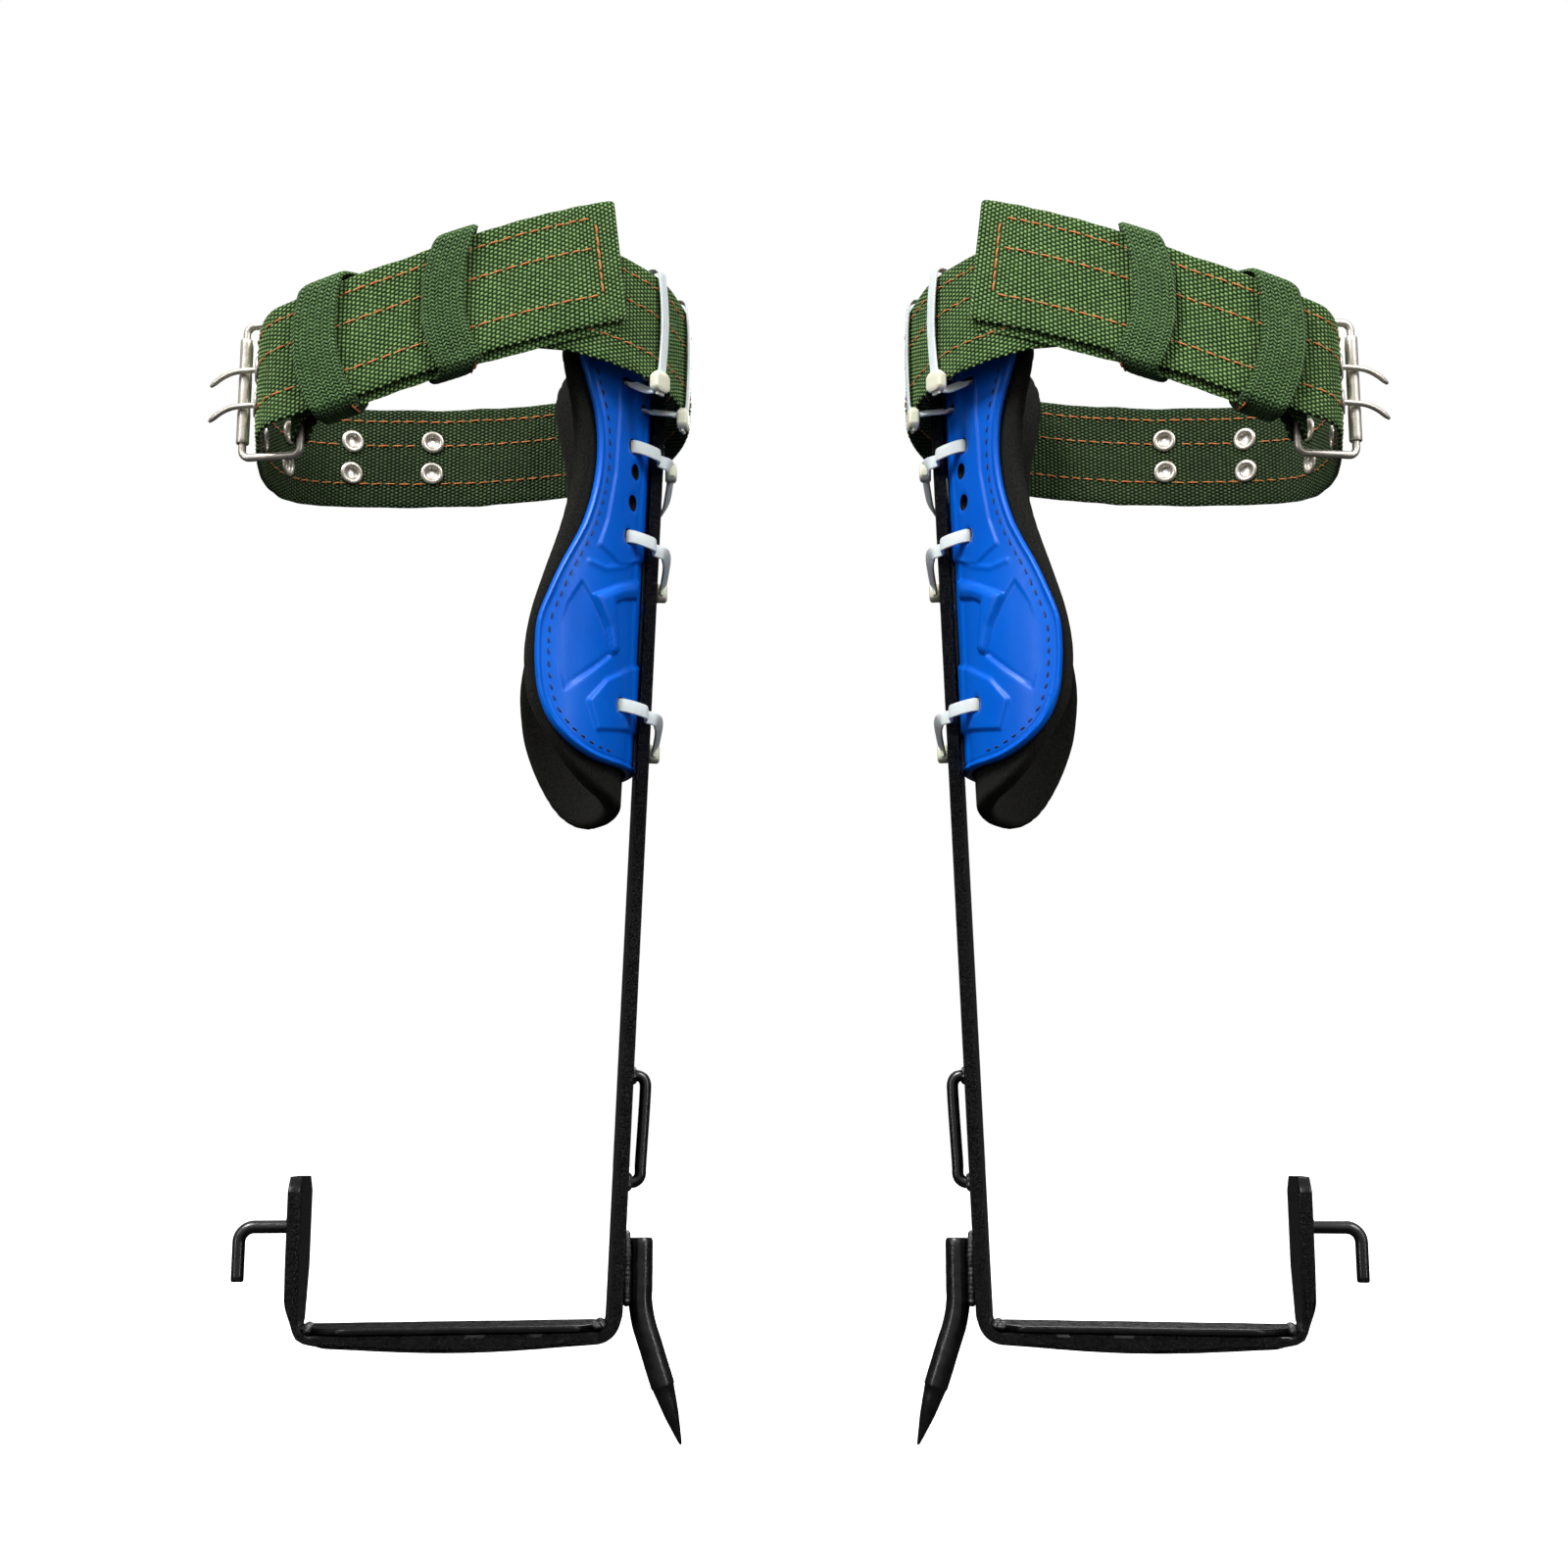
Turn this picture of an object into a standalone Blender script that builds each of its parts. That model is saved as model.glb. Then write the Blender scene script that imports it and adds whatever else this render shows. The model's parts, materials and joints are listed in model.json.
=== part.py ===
"""A pair of climbing irons: bent steel leg irons with gaffs, calf cups, buckled webbing belts and nylon ties."""

import math

import bpy
from mathutils import Vector

MM = 0.001

# Where each iron stands. Local axes of an iron: +X across to its shank, +Y to the rear, +Z up, Z = 0 on the tread.
IRON_OFFSET = 136.5
TOE_IN = 9.0

# Bent bar
BAR_HALF_DEPTH = 15.0
BAR_THICK = 5.2
SHORT_X, SHORT_TOP, SHORT_TWIST = -74.4, 60.5, 0.09
SHANK_TOP_X, SHANK_TOP_Z = 77.6, 440.0
SHANK_FOOT_X, SHANK_FOOT_Z = 62.2, 12.0
BASE_TOP, BASE_BOTTOM, BASE_BOW = -3.1, -8.6, 2.0

# Rods
GAFF_R, GAFF_X, GAFF_TOP, GAFF_BEND, GAFF_LEAN = 5.1, 70.4, 34.4, 4.0, 18.0
HOOK_R, HOOK_Z, HOOK_X, HOOK_END = 2.65, 40.0, -95.3, 18.0
LOOP_R, LOOP_LOW, LOOP_HIGH, LOOP_OUT = 2.5, 57.5, 102.5, 4.9

# Calf cup
CUP_R, CUP_THICK, FOAM_THICK, FIT = 48.0, 2.6, 8.0, 1.1
FOAM_SKEW = 0.13
CUP_BACK_GAP = 1.6
# height, half arc of the cup's outline
CUP_OUTLINE = ((232.5, 33.0), (233.5, 42.0), (236.6, 51.0), (241.6, 59.0), (248.5, 65.6), (257.0, 69.8),
               (266.0, 72.0), (279.0, 73.2), (292.0, 72.6), (306.5, 67.7), (316.5, 63.6), (326.0, 58.9),
               (336.0, 54.4), (349.0, 50.8), (361.0, 49.2), (373.0, 49.4), (385.0, 51.6), (398.0, 56.4),
               (410.0, 60.6), (420.0, 61.4), (429.0, 57.0), (435.0, 47.0), (438.0, 34.0))
FOAM_OUTLINE = ((215.5, 18.0), (217.0, 34.0), (221.5, 46.0), (229.0, 56.0), (241.0, 66.0), (254.0, 73.4),
                (266.0, 76.6), (280.0, 77.8), (296.0, 75.6), (313.0, 70.4), (333.0, 63.4), (346.0, 60.0),
                (358.0, 57.9), (372.0, 58.0), (385.0, 59.8), (401.0, 64.6), (413.0, 67.2), (424.0, 66.0),
                (434.0, 59.0), (441.0, 47.0), (444.0, 33.0))

# Belt: plan points of the webbing's middle, its middle height and its upright width
WEB_THICK = 2.2
HEEL = (-80.0, -46.6)
BUCKLE_Z, BUCKLE_HALF, WIRE_R = 386.5, 29.2, 1.65
ROLLER_XY, ROLLER_R, ROLLER_HALF = (-104.4, -38.4), 2.7, 23.0
PRONG_R = 1.2
PRONG_EYE = WIRE_R + 0.35 + PRONG_R
CHAPE_END = ((-48.0, -58.8, 408.0, 50.0), (-58.0, -58.6, 403.0, 50.0), (-66.5, -57.0, 398.0, 49.0),
             (-73.6, -52.4, 393.5, 48.0))
CHAPE_TURN = (20.0, 200.0, 3.1)
WEBBING = ((-79.2, -55.6, 392.0, 48.0), (-71.0, -59.9, 397.0, 49.0), (-59.0, -61.5, 403.0, 50.0),
           (-46.0, -61.7, 409.5, 51.0),
           (-30.0, -61.8, 416.0, 52.0), (0.0, -61.8, 428.0, 51.0), (28.0, -59.4, 430.0, 50.0),
           (52.0, -52.6, 427.0, 50.0), (72.0, -38.0, 423.0, 49.0), (83.5, -18.0, 419.0, 48.0),
           (87.0, 0.0, 416.0, 48.0), (83.5, 20.0, 412.0, 48.0), (72.0, 38.0, 408.0, 48.0),
           (50.0, 52.0, 404.0, 48.0), (20.0, 60.0, 400.0, 48.0), (-20.0, 62.0, 396.0, 48.0),
           (-54.0, 58.6, 393.0, 48.0), (-74.0, 51.5, 390.5, 48.0), (-86.0, 42.5, 388.0, 48.0),
           (-93.6, 31.0, 386.0, 48.0), (-98.0, 16.0, 385.0, 48.0), (-99.8, 1.0, 384.5, 48.0),
           (-100.0, -14.0, 384.5, 48.0), (-99.2, -28.0, 385.0, 48.0), (-98.2, -39.0, 386.0, 48.0),
           (-97.0, -49.0, 388.0, 48.0), (-92.2, -57.6, 390.5, 49.0), (-83.0, -62.2, 393.5, 50.5),
           (-70.0, -64.0, 398.5, 52.0), (-58.0, -64.6, 403.8, 53.0), (-44.0, -65.0, 409.8, 53.6),
           (-30.0, -65.2, 416.0, 54.0), (0.0, -65.4, 428.4, 54.6), (28.0, -63.0, 439.2, 55.2),
           (52.0, -56.4, 448.5, 56.0))
# Keepers: x, half width, depth, inside half height, and how far the front is drawn along at its top, middle and foot
KEEPERS = ((-61.5, 9.6, 15.6, 29.4, (-11.4, -13.4, -3.7)), (-19.0, 9.6, 10.8, 30.8, (1.5, -4.0, 5.2)))
KEEPER_WALL = 1.5

# Ties: belt point, turn about the cup, middle height and half height of the webbing there, height of the low slot,
# bow along the belt, and where the head starts outward and down
TIE_THICK, SHANK_TIE_WIDTH, STRAP_TIE_HALF = 1.1, 5.8, 2.3
BELT_TIES = (((67.6, -42.6), -41.8, 424.0, 26.0, 402.6, 3.6, (1.9, -4.2)),
             ((81.5, -22.5), -22.6, 419.7, 25.2, 395.6, 2.6, (-0.8, -8.8)))
# near and far heights of each tie round the shank, and the side its head is on
SHANK_TIES = ((375.2, 354.5, -1), (334.2, 313.5, 1), (259.0, 239.5, 1))
EYELET_PITCH, EYELET_ROW = 38.0, 15.5
EYELET_OUT, EYELET_BORE, WEB_HOLE = 5.4, 3.05, 4.0

MATERIALS = {"steel": (0.02, 0.02, 0.021, 0.6, 0.5), "cup": (0.0, 0.12, 0.68, 0.0, 0.25),
             "foam": (0.02, 0.02, 0.018, 0.0, 0.9), "web": (0.05, 0.14, 0.05, 0.0, 0.85),
             "nickel": (0.6, 0.56, 0.5, 1.0, 0.25), "nylon": (0.8, 0.82, 0.82, 0.0, 0.4)}


def clear_scene():
    for obj in list(bpy.data.objects):
        bpy.data.objects.remove(obj, do_unlink=True)


def material(name):
    found = bpy.data.materials.get(name)
    if found:
        return found
    red, green, blue, metal, rough = MATERIALS[name]
    made = bpy.data.materials.new(name)
    made.use_nodes = True
    shader = made.node_tree.nodes["Principled BSDF"]
    shader.inputs["Base Color"].default_value = (red, green, blue, 1.0)
    shader.inputs["Metallic"].default_value = metal
    shader.inputs["Roughness"].default_value = rough
    return made


class Side:
    """Places local millimetres in the world for one iron; the right one is the mirror of the left."""

    def __init__(self, prefix, sign):
        self.prefix, self.sign = prefix, sign
        self.cos, self.sin = math.cos(math.radians(TOE_IN)), math.sin(math.radians(TOE_IN))

    def world(self, point):
        x, y, z = point
        across = -IRON_OFFSET + self.cos * x - self.sin * y
        return Vector((across if self.sign < 0 else -across, self.sin * x + self.cos * y, z)) * MM

    def add(self, name, shape, look, pivot=(0.0, 0.0, 0.0), helper=False):
        verts, faces = shape
        origin = self.world(pivot)
        mesh = bpy.data.meshes.new(self.prefix + name)
        if self.sign > 0:
            faces = [tuple(reversed(face)) for face in faces]
        mesh.from_pydata([self.world(v) - origin for v in verts], [], faces)
        mesh.update()
        obj = bpy.data.objects.new(self.prefix + name, mesh)
        obj.location = origin
        bpy.context.collection.objects.link(obj)
        mesh.materials.append(material(look))
        if helper:
            obj.hide_render = True
            obj.display_type = "WIRE"
        return obj


def cut(obj, cutter):
    step = obj.modifiers.new("cut_" + cutter.name, "BOOLEAN")
    step.operation = "DIFFERENCE"
    step.solver = "EXACT"
    step.object = cutter


def loft(rings, closed=False):
    """A solid skin through rings of equal length; its ends are capped unless it closes on itself."""
    size = len(rings[0])
    verts = [tuple(p) for ring in rings for p in ring]
    faces = []
    last = len(rings) if closed else len(rings) - 1
    for i in range(last):
        a, b = i * size, (i + 1) % len(rings) * size
        for j in range(size):
            k = (j + 1) % size
            faces.append((a + j, a + k, b + k, b + j))
    if not closed:
        faces.append(tuple(reversed(range(size))))
        faces.append(tuple(range((len(rings) - 1) * size, len(rings) * size)))
    return outward(verts, faces)


def outward(verts, faces):
    volume = 0.0
    for face in faces:
        for j in range(1, len(face) - 1):
            a, b, c = (Vector(verts[face[n]]) for n in (0, j, j + 1))
            volume += a.dot(b.cross(c))
    if volume < 0:
        faces = [tuple(reversed(face)) for face in faces]
    return verts, faces


def tube(path, radius, sides=12, closed=False):
    """A round bar along a path. A radius may be given for each point."""
    points = [Vector(p) for p in path]
    count = len(points)
    radii = radius if isinstance(radius, (list, tuple)) else [radius] * count
    rings, across = [], None
    for i, point in enumerate(points):
        before = points[i - 1] if i or closed else point
        after = points[(i + 1) % count] if i < count - 1 or closed else point
        ahead = (after - before).normalized()
        if across is None:
            across = ahead.orthogonal().normalized()
        across = (across - ahead * across.dot(ahead)).normalized()
        other = ahead.cross(across)
        turn = [2 * math.pi * (j + 0.5) / sides for j in range(sides)]
        rings.append([point + radii[i] * (across * math.cos(t) + other * math.sin(t)) for t in turn])
    return loft(rings, closed)


def arc(centre, radius, start, end, steps):
    return [(centre[0] + radius * math.cos(math.radians(start + (end - start) * i / steps)),
             centre[1] + radius * math.sin(math.radians(start + (end - start) * i / steps)))
            for i in range(steps + 1)]


def smooth(points, steps):
    """A Catmull-Rom curve through points of any dimension."""
    out = []
    for i in range(len(points) - 1):
        p0, p1, p2 = points[max(i - 1, 0)], points[i], points[i + 1]
        p3 = points[min(i + 2, len(points) - 1)]
        for j in range(steps):
            t = j / steps
            out.append(tuple(0.5 * (2 * b + (c - a) * t + (2 * a - 5 * b + 4 * c - d) * t * t
                                    + (3 * b - a - 3 * c + d) * t ** 3)
                             for a, b, c, d in zip(p0, p1, p2, p3)))
    return out + [tuple(points[-1])]


def normals(path, closed=False):
    """Unit normals to the right of a plan path."""
    out, count = [], len(path)
    for i in range(count):
        a = path[i - 1] if i or closed else path[i]
        b = path[(i + 1) % count] if i < count - 1 or closed else path[i]
        dx, dy = b[0] - a[0], b[1] - a[1]
        size = math.hypot(dx, dy)
        out.append((dy / size, -dx / size))
    return out


def wall(path, thick, closed=False):
    """Webbing with upright generators along (x, y, middle height, width) points; a fifth value thickens it."""
    rings = []
    for (x, y, z, width, *more), (nx, ny) in zip(path, normals(path, closed)):
        half = (more[0] if more else thick) / 2
        rings.append([(x + nx * side * half, y + ny * side * half, z + up * width / 2)
                      for side, up in ((-1, -1), (1, -1), (1, 1), (-1, 1))])
    return loft(rings, closed)


def frame_of(origin, along, up):
    """Maps (u, v, w) to local space with u along, w up and v the normal between them."""
    along, up = Vector(along).normalized(), Vector(up).normalized()
    normal = up.cross(along).normalized()
    origin = Vector(origin)
    return lambda u, v, w: tuple(origin + along * u + normal * v + up * w)


def box(place, low, high):
    corners = [(x, y) for x, y in ((low[0], low[1]), (high[0], low[1]), (high[0], high[1]), (low[0], high[1]))]
    return loft([[place(x, y, z) for x, y in corners] for z in (low[2], high[2])])


def lathe(place, profile, sides=12):
    """A ring turned about the v axis of a frame from closed (radius, v) points."""
    rings = []
    for j in range(sides):
        t = 2 * math.pi * j / sides
        rings.append([place(r * math.cos(t), v, r * math.sin(t)) for r, v in profile])
    return loft(rings, closed=True)


def shank_x(z):
    """The shank's middle at a height."""
    share = (z - SHANK_FOOT_Z) / (SHANK_TOP_Z - SHANK_FOOT_Z)
    return SHANK_FOOT_X + (SHANK_TOP_X - SHANK_FOOT_X) * share - BAR_THICK / 2


def bar_outline():
    """The bent bar in the X-Z plane: down the outside, then back up the inside."""
    left_out, left_in = SHORT_X, SHORT_X + BAR_THICK
    outer = [(left_out + 0.4, SHORT_TOP)] + arc((left_out + 19.0, BASE_BOTTOM + 19.6), 19.0, 180, 262, 6)
    for i in range(1, 8):
        t = i / 8
        outer.append((-50.0 + 92.0 * t, BASE_BOTTOM - BASE_BOW * math.sin(math.pi * t) + 0.3))
    outer += arc((SHANK_FOOT_X - 14.0, BASE_BOTTOM + 14.6), 14.0, 278, 356, 5)
    outer.append((SHANK_TOP_X, SHANK_TOP_Z))
    inner = [(SHANK_TOP_X - BAR_THICK, SHANK_TOP_Z)]
    inner += arc((SHANK_FOOT_X - 10.6, BASE_TOP + 5.0), 5.0, 0, -90, 4)
    inner += arc((left_in + 5.0, BASE_TOP + 5.0), 5.0, 270, 180, 4)
    inner.append((left_in + 0.4, SHORT_TOP))
    return outer, inner


def leg_iron(side):
    outer, inner = bar_outline()
    ring = outer + inner
    twist = [SHORT_TWIST * min(max((z - 5.0) / 12.0, 0.0), 1.0) if x < 0.0 else 0.0 for x, z in ring]
    obj = side.add("leg_iron", loft([[(x + y * turn, y, z) for (x, z), turn in zip(ring, twist)]
                                     for y in (-BAR_HALF_DEPTH, BAR_HALF_DEPTH)]), "steel")
    for name, rear in (("front", -1), ("rear", 1)):
        edge, size = BAR_HALF_DEPTH + 1.0, 6.0
        wedge = [(rear * edge, SHORT_TOP - size), (rear * edge, SHORT_TOP + 1.0),
                 (rear * (edge - size - 1.0), SHORT_TOP + 1.0)]
        corner = side.add("corner_cut_" + name, loft([[(SHORT_X + x, y, z) for y, z in wedge] for x in (-2.0, 9.0)]),
                          "steel", helper=True)
        cut(obj, corner)


def foot_plate(side):
    left, right, half, chamfer = -65.5, 52.9, 14.6, 9.0
    ring = [(left, half), (left, -half + chamfer), (left + 13.0, -half), (right - 9.0, -half),
            (right, -half + chamfer), (right, half)]
    side.add("foot_plate", loft([[(x, y, z) for x, y in ring] for z in (-2.7, 0.0)]), "steel")


def gaff(side):
    lean = math.radians(GAFF_LEAN)
    bend = Vector((GAFF_X, 0, GAFF_BEND))
    ahead = Vector((math.sin(lean), 0, -math.cos(lean)))
    half = Vector((math.sin(lean / 2), 0, -math.cos(lean / 2)))
    path = [(GAFF_X, 0, GAFF_TOP), bend + Vector((0, 0, 4.0)), bend + half * 0.3, bend + ahead * 4.5,
            bend + ahead * 32.0, bend + ahead * 44.0, bend + ahead * 57.0]
    side.add("gaff", tube(path, [GAFF_R] * 5 + [3.2, 0.45], 16), "steel")
    face = shank_x(20) + BAR_THICK / 2
    low, high, out = 9.0, GAFF_TOP + 2.5, 4.4
    bead = [(face + 1.9, -out, low), (face + 2.1, -out, high - 4.0), (face + 2.2, -out + 2.5, high - 0.6),
            (face + 2.2, 0, high), (face + 2.2, out - 2.5, high - 0.6), (face + 2.1, out, high - 4.0),
            (face + 1.9, out, low)]
    side.add("gaff_weld", tube(bead, 1.35, 8), "steel")


def rods(side):
    start = SHORT_X - 0.25
    turn = arc((HOOK_X + 6.0, HOOK_Z - 6.0), 6.0, 90, 180, 5)
    path = [(start, 0, HOOK_Z)] + [(x, 0, z) for x, z in turn] + [(HOOK_X, 0, HOOK_END)]
    side.add("hook_rod", tube(path, HOOK_R, 10), "steel")
    low_face = shank_x(LOOP_LOW) + BAR_THICK / 2 + 0.8
    high_face = shank_x(LOOP_HIGH) + BAR_THICK / 2 + 0.8
    path = [(low_face, 0, LOOP_LOW), (low_face + 2.6, 0, LOOP_LOW + 0.2), (low_face + LOOP_OUT, 0, LOOP_LOW + 2.4),
            (high_face + LOOP_OUT, 0, LOOP_HIGH - 2.4), (high_face + 2.6, 0, LOOP_HIGH - 0.2),
            (high_face, 0, LOOP_HIGH)]
    side.add("ankle_loop", tube(path, LOOP_R, 10), "steel")


def cup_point(arc_length, z, radius):
    """A point of the cup at an arc length from its back, on a cylinder of this radius."""
    back = shank_x(z) - BAR_THICK / 2 - CUP_BACK_GAP
    turn = arc_length / CUP_R
    return (back - CUP_R + radius * math.cos(turn), radius * math.sin(turn), z)


def cup_slab(outline, outer, inner, columns, skew=0.0):
    """A curved panel between two cylinders within an outline of (height, half arc), its foot lower at the rear."""
    verts, faces = [], []
    rows = len(outline)
    for radius in (outer, inner):
        for z, half in outline:
            for j in range(columns + 1):
                along = half * (2 * j / columns - 1)
                verts.append(cup_point(along, z - skew * along * max((262.0 - z) / 47.0, 0.0), radius))
    step, skin = columns + 1, rows * (columns + 1)
    for i in range(rows - 1):
        for j in range(columns):
            a, b = i * step + j, i * step + j + 1
            c, d = a + step, b + step
            faces += [(a, b, d, c), (skin + a, skin + c, skin + d, skin + b)]
    for i in range(rows - 1):
        for j, flip in ((0, True), (columns, False)):
            a, c = i * step + j, (i + 1) * step + j
            face = (a, c, skin + c, skin + a)
            faces.append(tuple(reversed(face)) if flip is False else face)
    for j in range(columns):
        for i, flip in ((0, False), (rows - 1, True)):
            a, b = i * step + j, i * step + j + 1
            face = (a, skin + a, skin + b, b)
            faces.append(tuple(reversed(face)) if flip else face)
    return outward(verts, faces)


def cup(side):
    shell = side.add("calf_shell", cup_slab(CUP_OUTLINE, CUP_R, CUP_R - CUP_THICK, 12), "cup")
    outer = CUP_R - CUP_THICK - FIT
    foam = side.add("foam_pad", cup_slab(FOAM_OUTLINE, outer, outer - FOAM_THICK, 12, FOAM_SKEW), "foam")
    return shell, foam


def tie_loop(z_near, z_far, head, grow=0.0):
    """A tie round the shank and through the cup's back, slanting from its near hole to its far one. Its head is
    towards the front where head is -1 and towards the rear where it is 1."""
    near, far, plan = -27.0, 27.0, []

    def height(y):
        return z_near + (z_far - z_near) * (y - near) / (far - near)

    def cup_middle(z):
        return shank_x(z) - BAR_THICK / 2 - CUP_BACK_GAP - CUP_R

    out = BAR_THICK
    around = [(near, None), (-18.6, 0.2), (-17.6, out + 1.0), (-14.6, out + 2.4), (8.0 * head, out + 4.2, 7.0, 4.4),
              (14.4 * head, out + 3.4, 7.0, 4.4), (7.8 * head, out + 3.8), (-8.0 * head, out + 4.0),
              (14.6, out + 3.2), (17.6, out + 1.0), (18.6, 0.2), (far, None)]
    for y, outward_by, *bulk in sorted(around, key=lambda row: row[0]):
        z = height(y)
        if outward_by is None:
            x = cup_middle(z) + math.sqrt((CUP_R + 0.2) ** 2 - y * y)
        else:
            x = shank_x(z) - BAR_THICK / 2 + outward_by
        plan.append((x, y, z, *(bulk or (SHANK_TIE_WIDTH + grow,))))
    inner_r = CUP_R - CUP_THICK - 1.1
    for y in (20.0, 10.0, 0.0, -10.0, -20.0):
        plan.append((cup_middle(height(y)) + math.sqrt(inner_r ** 2 - y * y), y, height(y), SHANK_TIE_WIDTH + grow))
    return plan


def ties(side, shell, foam):
    for index, (near, far, head) in enumerate(SHANK_TIES, 1):
        side.add("shank_tie_%d" % index, wall(tie_loop(near, far, head), TIE_THICK, closed=True), "nylon")
        loop = tie_loop(near, far, head, 1.3)
        through = loop[11:] + loop[:1]
        ends = [tuple(1.5 * a - 0.5 * b for a, b in zip(*pair)) for pair in (through[:2], through[:-3:-1])]
        channel = side.add("tie_channel_%d" % index,
                           wall(ends[:1] + through[1:-1] + ends[1:], TIE_THICK + 1.4), "nylon", helper=True)
        cut(shell, channel)
        cut(foam, channel)
    for index, row in enumerate(BELT_TIES, 1):
        strap_tie(side, index, *row, shell, foam)


def join(side, obj, name, shape):
    step = obj.modifiers.new(name, "BOOLEAN")
    step.operation = "UNION"
    step.solver = "EXACT"
    step.object = side.add(name, shape, "nylon", helper=True)


def strap_tie(side, index, belt_at, turn, middle, half, slot_low, bow, head_at, shell, foam):
    """A tie round the belt, from a pair of slots in the cup."""
    slot_z = slot_low + 7.0
    x, y, _ = cup_point(CUP_R * math.radians(turn), slot_z, CUP_R)
    reach = math.hypot(belt_at[0] - x, belt_at[1] - y)
    place = frame_of((x, y, 0.0), (belt_at[0] - x, belt_at[1] - y, 0), (0, 0, 1))
    behind = -CUP_THICK - 1.0
    low, high = middle - half, middle + half
    out, down = head_at
    foot = reach + out + 1.6
    path = [(max(foot, reach + 2.8), low - 0.5, bow * 0.3), (reach + 3.6, middle, bow), (reach + 2.8, high - 1.0, bow * 0.7),
            (reach + 1.0, high + 2.9, bow * 0.6), (reach - 2.0, high + 3.0, 0.0), (reach - 3.6, high - 3.0, 0.0),
            (reach - 4.6, slot_z + 13.0, 0.0), (2.0, slot_z + 8.0, 0.0), (behind, slot_z + 6.0, 0.0),
            (behind, slot_z - 6.0, 0.0), (2.0, slot_z - 8.0, 0.0), (foot - 4.8, low + min(down, -4.2) - 0.2, 0.0),
            (foot, low + min(down, -4.2) - 0.2, 0.0)]
    band = side.add("strap_tie_%d" % index, ribbon(place, path, TIE_THICK, STRAP_TIE_HALF), "nylon")
    join(side, band, "head_of_strap_tie_%d" % index, box(place, (reach + out, -4.4, low + down),
                                                                (reach + out + 4.6, 4.4, low + down + 8.4)))
    channel = side.add("strap_tie_channel_%d" % index,
                       ribbon(place, path[6:12], TIE_THICK + 1.9, STRAP_TIE_HALF + 0.6, closed=False), "nylon", helper=True)
    cut(shell, channel)
    cut(foam, channel)


def ribbon(place, path, thick, half_width, closed=True):
    """A strip bent in the u-w plane of a frame, shifted sideways by each point's third value."""
    rings = []
    for (u, w, shift), (nu, nw) in zip(path, normals(path, closed)):
        rings.append([place(u + nu * s * thick / 2, v * half_width + shift, w + nw * s * thick / 2)
                      for s, v in ((-1, -1), (1, -1), (1, 1), (-1, 1))])
    return loft(rings, closed)


def belt_path():
    start, end, radius = CHAPE_TURN
    turn = tuple((x, y, BUCKLE_Z + 1.0, 48.0) for x, y in arc(HEEL, radius, start, end, 4))
    return list(CHAPE_END + turn[:-1]) + smooth((turn[-1],) + WEBBING, 2)


def station(path, x):
    """Position and tangent of the outer front run at an x."""
    runs = [i for i, p in enumerate(path[:-1]) if p[1] < -40 and i > len(path) * 0.6]
    i = min(runs, key=lambda i: abs(path[i][0] - x))
    a, b = Vector(path[i - 1][:3]), Vector(path[i + 1][:3])
    share = (x - a.x) / (b.x - a.x)
    return a.lerp(b, share), (b - a).normalized()


def along_back(path, distance):
    """Position and plan tangent at an arc length behind where the prongs cross the outer run."""
    reach = math.dist(HEEL, ROLLER_XY)
    place = prong_frame(BUCKLE_Z)
    foot = Vector(place(0.0, PRONG_EYE + 0.3, 0.0))
    normal = Vector(place(0.0, PRONG_EYE + 1.3, 0.0)) - foot
    start = next(i for i in range(len(path) * 2 // 3, len(path)) if path[i][0] < -80
                 and (Vector(path[i][:3]) - foot).dot(normal) > 0.016 * reach)
    a, b = Vector(path[start][:3]), Vector(path[start - 1][:3])
    high, low = ((p - foot).dot(normal) - 0.016 * reach for p in (a, b))
    point = a.lerp(b, high / (high - low))
    i = start - 1
    while distance > (Vector(path[i][:2]) - point.xy).length:
        distance -= (Vector(path[i][:2]) - point.xy).length
        point = Vector(path[i][:3])
        i -= 1
    behind = Vector(path[i][:3])
    ahead = point - behind
    spot = point.lerp(behind, distance / ahead.xy.length)
    return spot, Vector((ahead.x, ahead.y, 0)).normalized()


def belt(side, shell, foam):
    path = belt_path()
    web = side.add("belt", wall(path, WEB_THICK), "web")
    for name, up in (("upper", 1), ("lower", -1)):
        z = BUCKLE_Z + up * EYELET_ROW / 2
        slot = lathe(frame_of((HEEL[0], HEEL[1], z), (1, 0, 0), (0, 1, 0)),
                     ((0.4, -1.7), (5.4, -1.7), (5.4, 1.7), (0.4, 1.7)), 16)
        cutter = side.add("prong_slot_" + name, slot, "web", helper=True)
        cut(web, cutter)
        prong(side, name, z)
    number = 0
    for pair in range(5):
        spot, ahead = along_back(path, EYELET_PITCH * pair)
        for up in (1, -1):
            number += 1
            z = (BUCKLE_Z if pair == 0 else spot.z) + up * EYELET_ROW / 2
            place = frame_of((spot.x, spot.y, z), ahead, (0, 0, 1))
            hole = side.add("web_hole_%d" % number,
                            tube([place(0, -4, 0), place(0, 4, 0)], WEB_HOLE, 12), "web", helper=True)
            cut(web, hole)
            flange, web_half = 0.7, WEB_THICK / 2 + 0.8
            profile = ((EYELET_BORE, -web_half - flange), (EYELET_OUT, -web_half - flange),
                       (EYELET_OUT, -web_half), (WEB_HOLE - 0.4, -web_half), (WEB_HOLE - 0.4, web_half),
                       (EYELET_OUT, web_half), (EYELET_OUT, web_half + flange),
                       (EYELET_BORE, web_half + flange))
            side.add("eyelet_%d" % number, lathe(place, profile, 10), "nickel")
    for index, row in enumerate(KEEPERS, 1):
        keeper(side, path, index, *row)


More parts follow.
